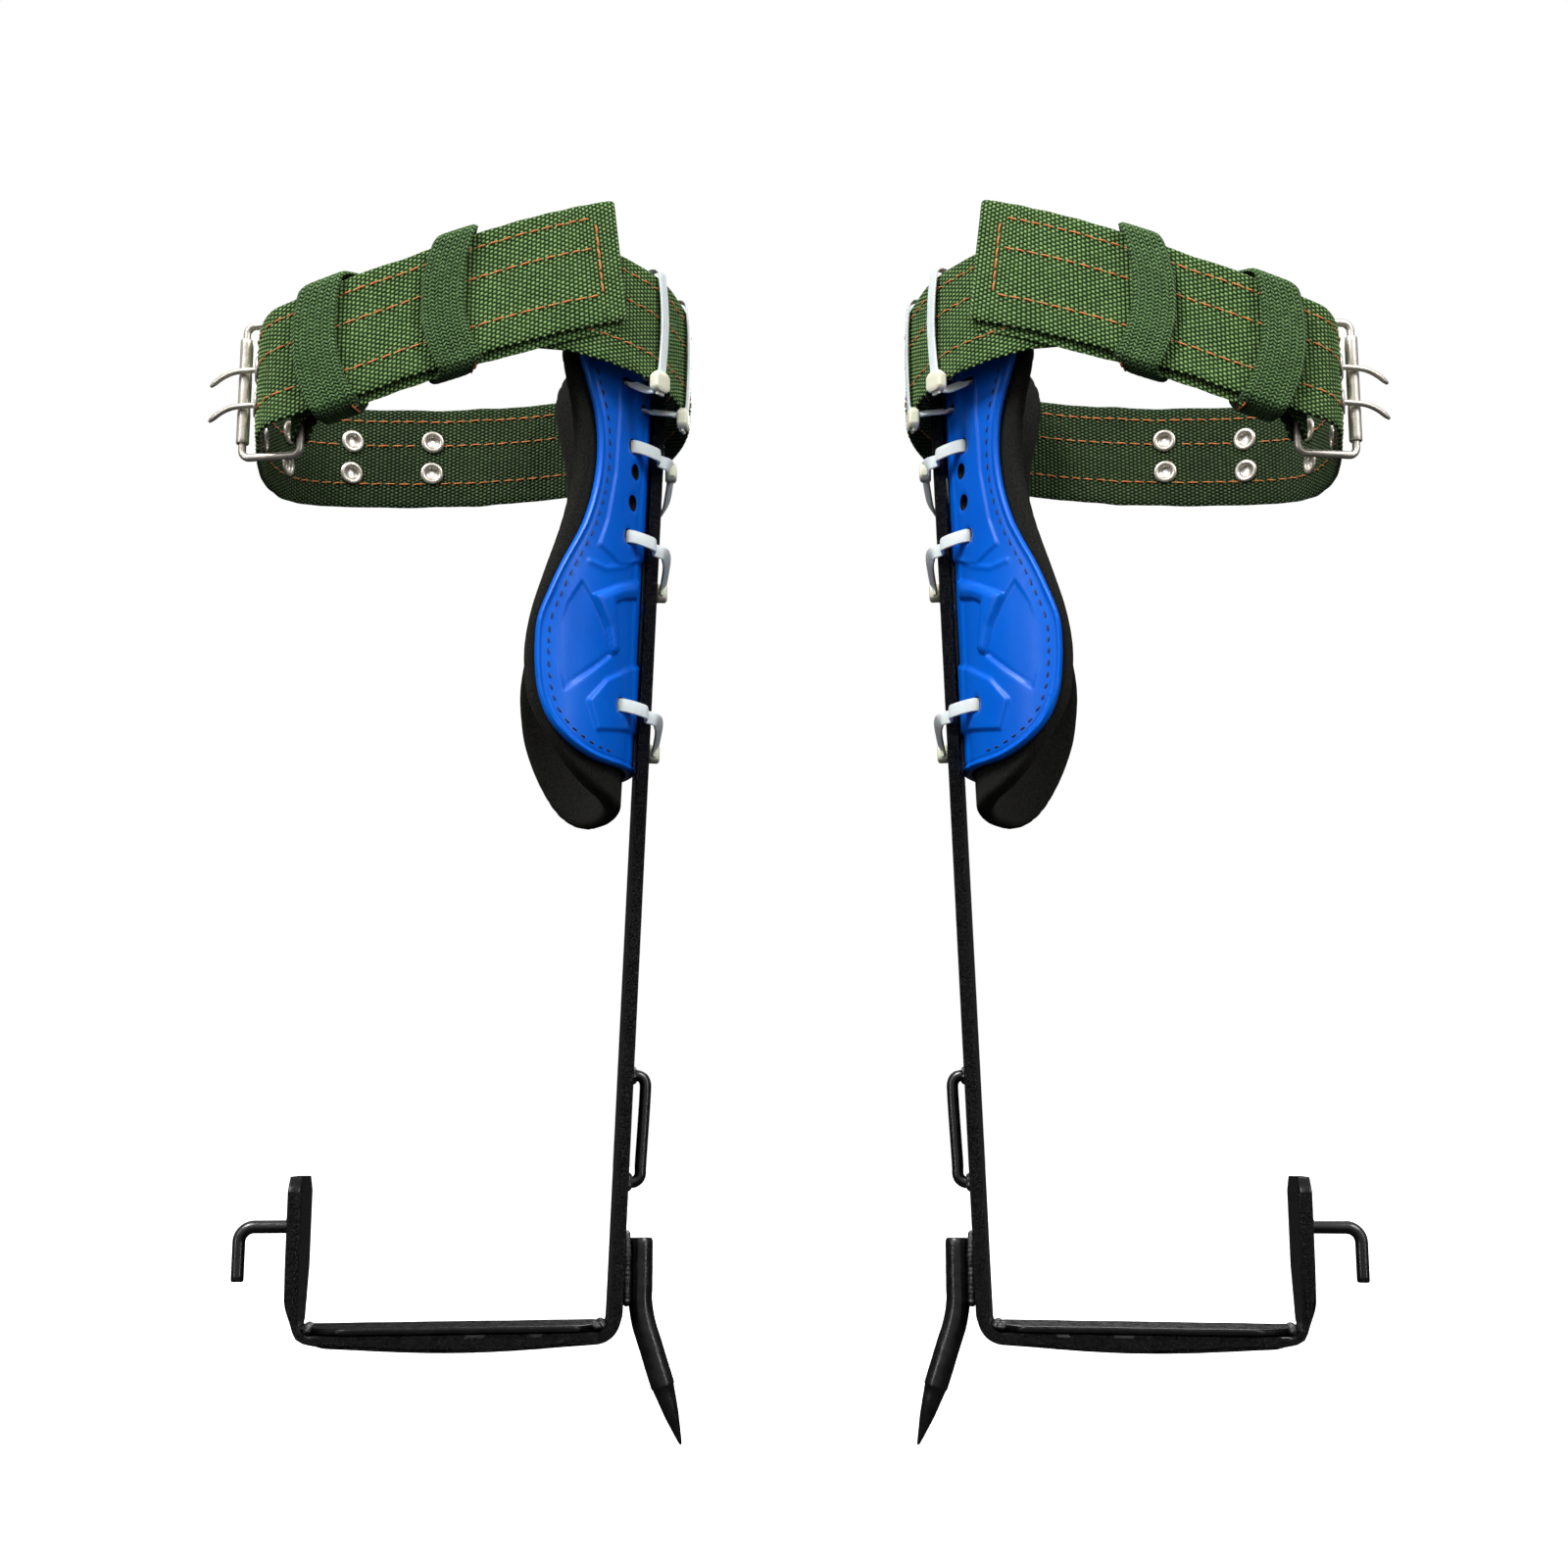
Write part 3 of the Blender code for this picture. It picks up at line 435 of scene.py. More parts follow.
def materials():
    made = {}
    made["steel"] = steel_look("black_satin_steel", 0.003, 0.28, 0.0)
    made["rod_steel"] = steel_look("black_glossy_rod", 0.005, 0.24, 0.0, 0.75)
    made["rough_steel"] = steel_look("black_rolled_edge", 0.0035, 0.3, 1.0)
    made["weld"] = steel_look("black_weld", 0.007, 0.2, 0.35, 0.8)

    look = Look("blue_moulded_plastic", (0.0, 0.12, 0.68), 0.36, Specular_IOR_Level=0.2, Coat_Weight=0.02,
                Coat_Roughness=0.15)
    haze = look.noise(22, 4)
    look.into("Base Color", look.ramp(haze, (0.3, (0.0, 0.1, 0.58)), (0.75, (0.0, 0.125, 0.67))))
    look.into("Roughness", look.ramp(look.noise(300, 5), (0.3, 0.28), (0.8, 0.42)))
    made["cup"] = look.bump(look.noise(420, 3), 0.00007, 0.3).mat

    look = Look("black_foam", (0.006, 0.006, 0.005), 0.92, Specular_IOR_Level=0.12, Sheen_Weight=0.02,
                Sheen_Roughness=0.6)
    grain = look.noise(1400, 4, rough=0.7)
    look.into("Base Color", look.ramp(grain, (0.34, (0.0015, 0.0015, 0.0012)),
                                      (0.66, (0.019, 0.0185, 0.015))))
    made["foam"] = look.bump(grain, 0.0005, 0.8).bump(look.noise(160, 3), 0.0006, 0.35).mat

    made["web"] = webbing_look("green_webbing", (0.004, 0.016, 0.002), (0.062, 0.15, 0.03), (0.3, 0.46, 0.17),
                               0.0)
    made["fine_web"] = webbing_look("green_keeper_webbing", (0.002, 0.01, 0.0015), (0.031, 0.084, 0.018),
                                    (0.16, 0.28, 0.1), 0.7)
    # A darker copy of the green webbing for the belt's inner faces: painted shade, where the cup and the belt's own
    # run shade the inside.
    made["inside_web"] = webbing_look("green_webbing_painted_shade", (0.002, 0.008, 0.001), (0.022, 0.05, 0.011),
                                      (0.11, 0.17, 0.065), 0.0)
    made["thread"] = thread_look("orange_thread", (0.85, 0.25, 0.05))
    made["dark_thread"] = thread_look("navy_thread", (0.002, 0.012, 0.06))

    look = Look("nickel_plate", (0.68, 0.63, 0.55), 0.34, 0.7)
    look.into("Roughness", look.ramp(look.noise(500, 4), (0.3, 0.26), (0.8, 0.42)))
    look.into("Base Color", look.ramp(look.noise(120, 4), (0.35, (0.58, 0.53, 0.45)),
                                      (0.7, (0.76, 0.72, 0.65))))
    made["nickel"] = look.bump(look.noise(900, 3), 0.00005, 0.3).mat

    for name, colour in (("nylon", (0.74, 0.8, 0.8)), ("nylon_head", (0.82, 0.81, 0.64))):
        look = Look("white_" + name, colour, 0.38, Subsurface_Weight=0.3, Subsurface_Scale=0.0015)
        cloud = look.noise(260, 3)
        look.into("Base Color", look.ramp(cloud, (0.3, tuple(c * 0.9 for c in colour)), (0.75, colour)))
        made[name] = look.bump(cloud, 0.00012, 0.25).mat
    return made


LOOKS = materials()


class Side:
    """Places an iron's millimetres in the world; the right iron is the mirror of the left."""

    def __init__(self, prefix, sign):
        self.prefix, self.sign = prefix, sign

    def world(self, points):
        x, y, z = np.asarray(points, float).reshape(-1, 3).T
        across = -IRON_OFFSET + math.cos(TOE_IN) * x - math.sin(TOE_IN) * y
        return np.column_stack([-self.sign * across, math.sin(TOE_IN) * x + math.cos(TOE_IN) * y, z]) * MM

    def local(self, point):
        """An iron's millimetres of a world point."""
        x, y, z = np.asarray(point, float) / MM
        x = -self.sign * x + IRON_OFFSET
        return np.array([math.cos(TOE_IN) * x + math.sin(TOE_IN) * y,
                         math.cos(TOE_IN) * y - math.sin(TOE_IN) * x, z])

    def centre(self, node):
        low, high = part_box(self.prefix + node)
        return self.local((low + high) / 2)

    def add(self, name, shape, look, node, stands_for=True, sharp=40.0):
        """A piece that rides with a CAD node's body and, unless told otherwise, stands for that node."""
        mesh = bpy.data.meshes.new(self.prefix + name)
        mesh.from_pydata(self.world(shape.verts).tolist(), [], shape.faces)
        if shape.uvs:
            layer = mesh.uv_layers.new(name="weave")
            layer.data.foreach_set("uv", np.asarray(shape.uvs, np.float32).ravel())
        built = bmesh.new()
        built.from_mesh(mesh)
        bmesh.ops.delete(built, geom=[v for v in built.verts if not v.link_faces], context="VERTS")
        bmesh.ops.recalc_face_normals(built, faces=built.faces[:])
        built.to_mesh(mesh)
        built.free()
        mesh.polygons.foreach_set("use_smooth", np.ones(len(mesh.polygons), bool))
        mesh.set_sharp_from_angle(angle=math.radians(sharp))
        mesh.materials.append(LOOKS[look])
        obj = bpy.data.objects.new(self.prefix + name, mesh)
        bpy.context.scene.collection.objects.link(obj)
        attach(obj, BODY_OF[self.prefix + node])
        if stands_for:
            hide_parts(self.prefix + node)
        return obj


# ---- Steel

def shank_x(z):
    """The shank's middle at a height."""
    share = (z - SHANK_FOOT_Z) / (SHANK_TOP_Z - SHANK_FOOT_Z)
    return SHANK_FOOT_X + (SHANK_TOP_X - SHANK_FOOT_X) * share - BAR_THICK / 2


def leg_iron(side):
    """The bent bar, swept as pairs of outside and inside points with rounded, rough-rolled edges."""
    left_in = SHORT_X + BAR_THICK
    heights = (SHORT_TOP, SHORT_TOP - 1.5, SHORT_TOP - 3, SHORT_TOP - 6, 48, 36, 24)
    outer = [(SHORT_X + 0.4, z) for z in heights]
    inner = [(left_in + 0.4, z) for _, z in outer]
    outer += arc((SHORT_X + 19.0, BASE_BOTTOM + 19.6), 19.0, 180, 262, 14).tolist()
    inner += arc((left_in + 5.0, BASE_TOP + 5.0), 5.0, 180, 270, 14).tolist()
    for t in np.linspace(0.05, 0.95, 40):
        x = -50.0 + 92.0 * t
        outer.append((x, BASE_BOTTOM - BASE_BOW * math.sin(math.pi * t) + 0.3))
        inner.append((left_in + 6 + (SHANK_FOOT_X - BAR_THICK - 6 - left_in - 6) * t, BASE_TOP))
    outer += arc((SHANK_FOOT_X - 14.0, BASE_BOTTOM + 14.6), 14.0, 278, 356, 14).tolist()
    inner += arc((SHANK_FOOT_X - 10.6, BASE_TOP + 5.0), 5.0, -90, 0, 14).tolist()
    heights = np.linspace(14, SHANK_TOP_Z, 280)
    outer += [(shank_x(z) + BAR_THICK / 2, z) for z in heights]
    inner += [(shank_x(z) - BAR_THICK / 2, z) for z in heights]
    halves = np.full(len(outer), BAR_HALF)
    halves[:4] = (9.6, 11.2, 12.6, BAR_HALF)
    halves[-3:] = (14.4, 13.4, 11.6)
    rings = []
    section = rounded_rect(2 * BAR_HALF, BAR_THICK, BAR_ROUND)
    edge = np.linspace(-1, 1, 7)[1:-1]
    section = np.vstack([section[:4], [(x * (BAR_HALF - 1), BAR_THICK / 2) for x in -edge], section[4:8],
                         section[8:12], [(x * (BAR_HALF - 1), -BAR_THICK / 2) for x in edge], section[12:]])
    for (ox, oz), (ix, iz), half in zip(outer, inner, halves):
        out, ins = np.array([ox, 0, oz]), np.array([ix, 0, iz])
        thick = np.linalg.norm(out - ins)
        turn = SHORT_TWIST * min(max((oz - 5.0) / 12.0, 0.0), 1.0) if ox < 0 else 0.0
        ring = []
        for across, deep in section:
            y = across * half / BAR_HALF
            share = 0.5 - deep / thick * (1 if abs(deep) < BAR_THICK / 2 - 0.01 else thick / BAR_THICK)
            ring.append(ins + (out - ins) * (1 - share) + np.array([y * turn, y, 0]))
        rings.append(ring)
    rings = np.asarray(rings)
    rough = ripple(rings, 3.2, 5) * 0.16 + ripple(rings, 11.0, 6, 2) * 0.14
    at_edge = np.abs(rings[..., 1]) > halves[:, None] - 1.1
    rings[..., 1] -= np.sign(rings[..., 1]) * np.where(at_edge, 0.15 + rough, 0)
    obj = side.add("leg_iron_bar", loft(rings), "steel", "leg_iron", sharp=50)
    obj.data.materials.append(LOOKS["rough_steel"])
    for face in obj.data.polygons:
        here = np.mean([side.local(obj.data.vertices[v].co) for v in face.vertices], axis=0)
        face.material_index = int(abs(here[1]) > BAR_HALF - 0.9)


def foot_plate(side):
    left, right, half, chamfer = -65.5, 52.9, 14.6, 9.0
    plan = [(left, half), (left, -half + chamfer), (left + 13.0, -half), (right - 9.0, -half),
            (right, -half + chamfer), (right, half)]
    dense = filled(plan, 2.5, 2)
    middle = np.array([(left + right) / 2, 0])
    rings = []
    for inset, z in ((0.7, -2.7), (0.1, -2.4), (0.0, -1.9), (0.0, -0.8), (0.2, -0.25), (0.8, 0.0),
                     (1.6, 0.0)):
        shrink = 1 - inset / np.maximum(np.abs(dense - middle), 6)
        ring = np.column_stack([middle + (dense - middle) * shrink, np.full(len(dense), z)])
        ring[:, 2] += ripple(ring, 30, 3, 1) * 0.05
        rings.append(ring)
    side.add("tread_plate", loft(rings), "steel", "foot_plate", sharp=50)
    beads = []
    for x, y0, y1, z, r in ((-66.2, -8, 9, -1.0, 1.9), (54.0, -9, 8, -0.8, 2.0),
                            (52.0, -13.2, -7.0, -0.6, 1.7)):
        path = np.column_stack([x + 0.8 * ripple(np.linspace(0, 30, 26)[:, None], 9, 4),
                                np.linspace(y0, y1, 26),
                                np.full(26, z)])
        beads.append(tube(path, r + 0.35 * ripple(path, 4.5, 8), 10, round_ends=3))
    side.add("tread_welds", joined(beads), "weld", "leg_iron", stands_for=False)


def gaff(side):
    bend = np.array([GAFF_X, 0, GAFF_BEND])
    ahead = np.array([math.sin(GAFF_LEAN), 0, -math.cos(GAFF_LEAN)])
    line = [(GAFF_X, 0, GAFF_TOP), (GAFF_X, 0, 24.0), (GAFF_X, 0, 14.0), bend + (0, 0, 4.0)]
    line += [bend + ahead * s for s in (4.5, 12, 20, 28)]
    line = respaced(smooth(line, 8), 1.1)
    cone = [bend + ahead * s for s in (31.0, 31.8, 32.4, 35, 38, 41, 44, 47, 50, 53, 55, 56.3, 57.0)]
    radii = [5.1] * len(line) + [5.1, 5.08, 4.72, 4.36, 3.98, 3.6, 3.2, 2.62, 2.02, 1.4, 0.96, 0.66, 0.3]
    radii[0], radii[1] = 4.5, 4.98
    shape = tube(np.vstack([line, cone]), radii, 28)
    shape.verts = shape.verts + 0.05 * np.stack([ripple(shape.verts, 6, s) for s in (1, 2, 3)], -1)
    side.add("gaff_spike", shape, "rod_steel", "gaff", sharp=30)
    face = shank_x(20) + BAR_THICK / 2
    low, high, out = 8.0, GAFF_TOP + 1.4, 4.4
    bead = smooth([(face + 1.7, -out, low), (face + 1.8, -out, high - 5.0),
                   (face + 1.6, -out + 2.0, high - 1.2),
                   (face + 1.5, 0, high), (face + 1.6, out - 2.0, high - 1.2), (face + 1.8, out, high - 5.0),
                   (face + 1.7, out, low)], 14)
    bead = respaced(bead, 0.6)
    step = np.arange(len(bead)) * 0.6
    lumps = 1.55 + 0.3 * np.abs(np.sin(step * 1.7)) + 0.3 * ripple(bead, 5, 9)
    side.add("gaff_weld_bead", tube(bead, lumps, 12, round_ends=3), "weld", "gaff_weld")


def weld_toe(x, z, way, inner, outer, height, seed):
    """A lumpy weld ring round a rod where it meets a face of the bar; way is the face's direction along x."""
    rows, sides, rings = 7, 30, []
    for t in 2 * math.pi * np.arange(sides) / sides:
        grow = 1 + 0.16 * math.sin(7 * t + seed) + 0.1 * math.sin(3 * t + 2 * seed)
        profile = [(inner, 0.0)]
        for a in math.pi / 2 * np.arange(rows) / (rows - 1):
            profile.append((inner + (outer - inner) * grow * math.sin(a), height * grow * math.cos(a)))
        rings.append([(x + way * v, r * math.cos(t), z + r * math.sin(t)) for r, v in profile])
    return loft(rings, closed=True)


def rods(side):
    turn = arc((HOOK_X + 6.0, HOOK_Z - 6.0), 6.0, 90, 180, 12)
    line = [(SHORT_X + 0.6, 0, HOOK_Z), (SHORT_X - 5, 0, HOOK_Z)] + [(x, 0, z) for x, z in turn]
    line += [(HOOK_X, 0, z) for z in np.linspace(HOOK_Z - 8, HOOK_END + 0.6, 8)] + [(HOOK_X, 0, HOOK_END)]
    radii = [HOOK_R] * (len(line) - 1) + [HOOK_R - 0.45]
    side.add("hook", tube(line, radii, 20), "rod_steel", "hook_rod", sharp=50)
    side.add("hook_weld", weld_toe(SHORT_X + 0.45, HOOK_Z, -1, HOOK_R - 0.2, 4.5, 2.2, 1.0), "weld",
             "hook_rod",
             stands_for=False)
    low_face, high_face = (shank_x(z) + BAR_THICK / 2 + 0.8 for z in (LOOP_LOW, LOOP_HIGH))
    line = [(low_face, 0, LOOP_LOW), (low_face + 2.6, 0, LOOP_LOW + 0.2),
            (low_face + LOOP_OUT, 0, LOOP_LOW + 2.6),
            (low_face + LOOP_OUT + 0.3, 0, LOOP_LOW + 9), (high_face + LOOP_OUT + 0.2, 0, LOOP_HIGH - 9),
            (high_face + LOOP_OUT, 0, LOOP_HIGH - 2.6), (high_face + 2.6, 0, LOOP_HIGH - 0.2),
            (high_face, 0, LOOP_HIGH)]
    side.add("ankle_strap_loop", tube(respaced(smooth(line, 8), 0.9), LOOP_R, 20), "rod_steel", "ankle_loop",
             sharp=50)
    toes = [weld_toe(x - 0.6, z, 1, 2.3, 4.0, 1.9, seed)
            for x, z, seed in ((low_face, LOOP_LOW, 2.0), (high_face, LOOP_HIGH, 3.0))]
    side.add("ankle_loop_welds", joined(toes), "weld", "ankle_loop", stands_for=False)


# ---- Calf cup

def cup_point(arc_length, z, radius):
    """A point of the cup at an arc length from its back, on a cylinder of this radius."""
    back = shank_x(z) - BAR_THICK / 2 - CUP_BACK_GAP
    turn = arc_length / CUP_R
    return np.stack([back - CUP_R + radius * np.cos(turn), radius * np.sin(turn), z + 0 * turn], -1)


def panel_grid(outline, pitch):
    """Arc length and height over a panel's grid, and the distance of each point to its outline."""
    edge = respaced(smooth(outline, 6), pitch, 2)
    cols = round(2 * edge[:, 1].max() / pitch)
    share = np.linspace(-1, 1, cols + 1)
    a = edge[:, 1:2] * share
    z = np.repeat(edge[:, :1], cols + 1, 1)
    line = [(0.0, edge[0, 0])] + [(half, height) for height, half in edge[::4]] + [(0.0, edge[-1, 0])]
    line[-2] = (edge[-1, 1], edge[-1, 0])
    return a, z, near_line(np.abs(a), z, line)


def shell_relief(a, z, rim):
    """Height of the moulded relief above the plain cylinder."""
    side = np.abs(a)
    h = 0.95 * np.exp(-((rim - 1.35) / 0.85) ** 2) - 0.3 * np.exp(-((rim - 3.2) / 0.6) ** 2)
    h -= fall(rim, 0.9)
    spine = [(-1, 233), (16, 233), (18, 262), (19, 300), (19, 350), (17, 380), (16, 400), (15, 439),
             (-1, 439)]
    h += 0.75 * ease(inside(side, z, spine) / 2.2 + 0.5)
    upper = [(-1, 439), (42, 439), (40.5, 412), (39, 388), (39.5, 360), (43, 338), (47, 326), (34, 320),
             (19, 325),
             (-1, 330)]
    h += 0.8 * ease(inside(side, z, upper) / 1.2 + 0.5)
    ledge = [(51, 318), (42, 316.5), (30, 320), (19, 326.5)]
    h += 0.55 * np.exp(-(near_line(side, z, ledge) / 1.1) ** 2)
    leaf = [(54, 309), (60, 299), (64, 287), (64.5, 275), (60, 262.5), (48, 270.5), (36, 279.5), (39, 287),
            (44, 296), (49, 303)]
    h -= 0.85 * ease(inside(side, z, leaf) / 0.9 + 0.5) * ease((67 - side) / 15)
    spear = [(48.5, 303.5), (34, 311), (18, 317), (18, 308.5), (30, 305.5), (36, 302.5), (31.5, 282),
             (36.5, 279.5),
             (40, 291)]
    deep = inside(side, z, spear)
    h += 1.3 * ease(deep / 0.9 + 0.5) + 0.35 * np.clip(deep, 0, 3)
    boss = [(48.5, 258), (39, 268.5), (24, 276), (-1, 284), (-1, 249), (20, 249), (43, 245.5)]
    h += 1.35 * ease(inside(side, z, boss) / 1.5 + 0.35)
    h -= 0.55 * np.exp(-(near_line(side, z, [(59, 262), (36, 280.5)]) / 1.0) ** 2)
    return np.minimum(h, 1.3 + 0.6 * CUP_R * (1 - np.cos(side / CUP_R)))


def tie_height(near, far, y):
    return near + (far - near) * (y + 27.0) / 54.0


def shell_holes():
    """(arc, height, half arc, half height) of each hole, near side and far side."""
    holes = []
    for near, far, _ in SHANK_TIES:
        for y, z in ((-27.0, near), (27.0, far)):
            holes.append((math.asin(y / CUP_R) * CUP_R, z, 3.0, 3.5))
    for sign in (-1, 1):
        holes += [(sign * 25.0, 364.5, 3.6, 3.6), (sign * 26.0, 350.0, 3.6, 3.7)]
    for _, turn, _, _, low, *_ in BELT_TIES:
        holes += [(CUP_R * math.radians(turn), z, 3.4, 2.1) for z in (low + 14.0, low)]
    return holes


def calf_shell(side):
    a, z, rim = panel_grid(CUP_OUTLINE, CUP_PITCH)
    keep = np.ones((a.shape[0] - 1, a.shape[1] - 1), bool)
    mid_a = (a[1:, 1:] + a[:-1, :-1]) / 2
    mid_z = (z[1:, 1:] + z[:-1, :-1]) / 2
    h = shell_relief(a, z, rim)
    for ha, hz, ra, rz in shell_holes():
        gone = ((mid_a - ha) / ra) ** 2 + ((mid_z - hz) / rz) ** 2 < 1
        keep &= ~gone
        touched = np.zeros(a.shape, bool)
        for di in (0, 1):
            for dj in (0, 1):
                touched[di:a.shape[0] - 1 + di, dj:a.shape[1] - 1 + dj] |= gone
        reach = np.sqrt(((a - ha) / ra) ** 2 + ((z - hz) / rz) ** 2)
        h -= 0.45 * np.exp(-np.clip(reach - 1, 0, None) ** 2 * 14)
        near = touched | (reach < 1.02)
        scale = np.where(near, 1 / np.maximum(reach, 0.2), 1)
        a, z = ha + (a - ha) * scale, hz + (z - hz) * scale
    edge = 0.7 * fall(rim, 0.8)
    shape = slab(cup_point(a, z, CUP_R + h), cup_point(a, z, CUP_R - CUP_THICK + edge), keep)
    obj = side.add("calf_cup", shape, "cup", "calf_shell", sharp=45)
    # The wall faces round the holes get the black foam material: painted shade inside the holes.
    obj.data.materials.append(LOOKS["foam"])
    holes = [(CUP_R * math.sin(ha / CUP_R), hz, ra + 1.0, rz + 1.0) for ha, hz, ra, rz in shell_holes()]
    for face in obj.data.polygons[2 * int(keep.sum()):]:
        _, y, height = side.local(face.center)
        face.material_index = int(any(abs(y - hy) < wide and abs(height - hz) < tall
                                      for hy, hz, wide, tall in holes))

    line = respaced(smooth(CUP_OUTLINE, 6), 0.5, 2)
    ahead = tangents(line)
    inset = 5.6
    seam_z, seam_a = line[:, 0] + ahead[:, 1] * inset, line[:, 1] - ahead[:, 0] * inset
    stitches = []
    for sign in (-1, 1):
        height = shell_relief(seam_a, seam_z, np.full(len(seam_a), inset))
        stitches += dashes(cup_point(sign * seam_a, seam_z, CUP_R + height),
                           cup_point(sign * seam_a, seam_z, CUP_R + height + 1) -
                           cup_point(sign * seam_a, seam_z, CUP_R + height), 2.7, 2.6, 0.34, 21)
    side.add("cup_seam_thread", joined(stitches), "dark_thread", "calf_shell", stands_for=False)


def foam_pad(side):
    """The die-cut foam sheet behind the shell: soft-edged, crowned, channelled where the ties pass."""
    a, z, rim = panel_grid(FOAM_OUTLINE, FOAM_PITCH)
    outer = CUP_R - CUP_THICK - FIT
    drop = FOAM_EDGE * fall(rim, FOAM_EDGE)
    flat = np.stack([a, z], -1)
    waves = 0.3 * ripple(flat, 46, 31, 2)
    crown = 0.55 * ease(rim / 16) - 0.4 * np.exp(-((rim - 12.5) / 1.6) ** 2)
    channel = np.zeros(a.shape)
    for near, far, _ in SHANK_TIES:
        y = outer * np.sin(a / CUP_R)
        off = np.abs(z - tie_height(near, far, y))
        channel = np.maximum(channel, ease((5.0 - off) / 2) * ease((31 - np.abs(y)) / 3))
    z = z - FOAM_SKEW * a * np.maximum((262.0 - z) / 47.0, 0)
    front = cup_point(a, z, outer - drop - 1.9 * channel + waves * 0.3)
    back = cup_point(a, z, outer - FOAM_THICK + drop - crown * 0.7 + waves)
    obj = side.add("calf_foam", slab(front, back), "foam", "foam_pad", sharp=70)


# ---- Webbing

def dashes(line, normal, length, gap, radius, seed):
    """Stitches along a surface line: each rises out of the cloth, lies on it and dives back in."""
    source = random.Random(seed)
    normal = unit(normal)
    s = lengths(line)
    out, at = [], source.uniform(0.5, 1.5)
    while at + length < s[-1]:
        run = length * source.uniform(0.85, 1.12)
        here = at + run * np.array([0, 0.12, 0.35, 0.65, 0.88, 1.0])
        lift = radius * np.array([-1.6, 0.25, 0.75, 0.75, 0.25, -1.6])
        p, n = sampled(line, s, here), sampled(normal, s, here)
        sway = np.cross(n, unit(p[-1] - p[0])) * np.linspace(-1, 1, 6)[:, None] * source.uniform(0.05, 0.3)
        out.append(tube(p + n * lift[:, None] + sway, radius, 6))
        at += run + gap * source.uniform(0.8, 1.2)
    return out


def belt_line():
    turn = [(x, y, BUCKLE_Z + 1.0, 48.0) for x, y in arc(HEEL, HEEL_TURN, 20, 200, 4)]
    return respaced(smooth(list(SEWN_END) + turn + list(WEBBING), 10), KNUCKLE_ALONG / 2)


def plan_normals(line):
    ahead = tangents(line[:, :2])
    return np.column_stack([ahead[:, 1], -ahead[:, 0], np.zeros(len(line))])


def web_grid(line, across, thick, drop=0.0, push=0.0, seed=1, wave=0.3, lean_by=0.0):
    """Outer and inner faces of a strip of webbing with upright generators, knuckled on both faces."""
    rows, cols = len(line), 2 * across + 1
    normal = plan_normals(line)[:, None, :]
    share = np.linspace(-0.5, 0.5, cols)[None, :]
    width = line[:, 3:4]
    base = np.concatenate([np.repeat(line[:, None, :2], cols, 1),
                           (line[:, 2:3] + drop + share * width)[..., None]], 2)
    lean = ripple(base, 60, seed, 2) * wave
    lean = lean + ripple(base, 17, seed + 1, 1) * wave * 0.35 * np.abs(share * 2) ** 3
    base += normal * (push + lean)[..., None]
    base[..., 2] += 0.35 * ripple(line[:, :3], 24, seed + 2, 2)[:, None] * share * 2
    s = lengths(line)
    slip = lean_by * ease((s - s[-1] + 34.0) / 26.0)[:, None] * share * 2
    base -= tangents(line[:, :3])[:, None, :] * slip[..., None]
    i, j = np.meshgrid(np.arange(rows), np.arange(cols), indexing="ij")
    knuckle = (i % 2 == 1) & ((j + i // 2) % 2 == 1)
    rise = np.where(knuckle, 0.28, np.where(i % 2 == 1, -0.04, -0.16))
    ends = np.minimum(np.minimum(i, rows - 1 - i), 3) / 3.0
    border = np.minimum(np.minimum(j, cols - 1 - j), 3) / 3.0
    half = thick / 2 * (0.45 + 0.55 * np.sqrt(border)) * (0.6 + 0.4 * ends) + rise * (border > 0)
    return base + normal * half[..., None], base - normal * half[..., None]


def cell_map(i, j):
    return i / 2, j / 2


def corner_cut(line, reach=3.0):
    """Narrows the last few stations, so that a cut end has slightly rounded corners."""
    s = lengths(line)
    left = np.minimum(s, s[-1] - s)
    line = line.copy()
    line[:, 3] -= reach * fall(left, reach)
    return line


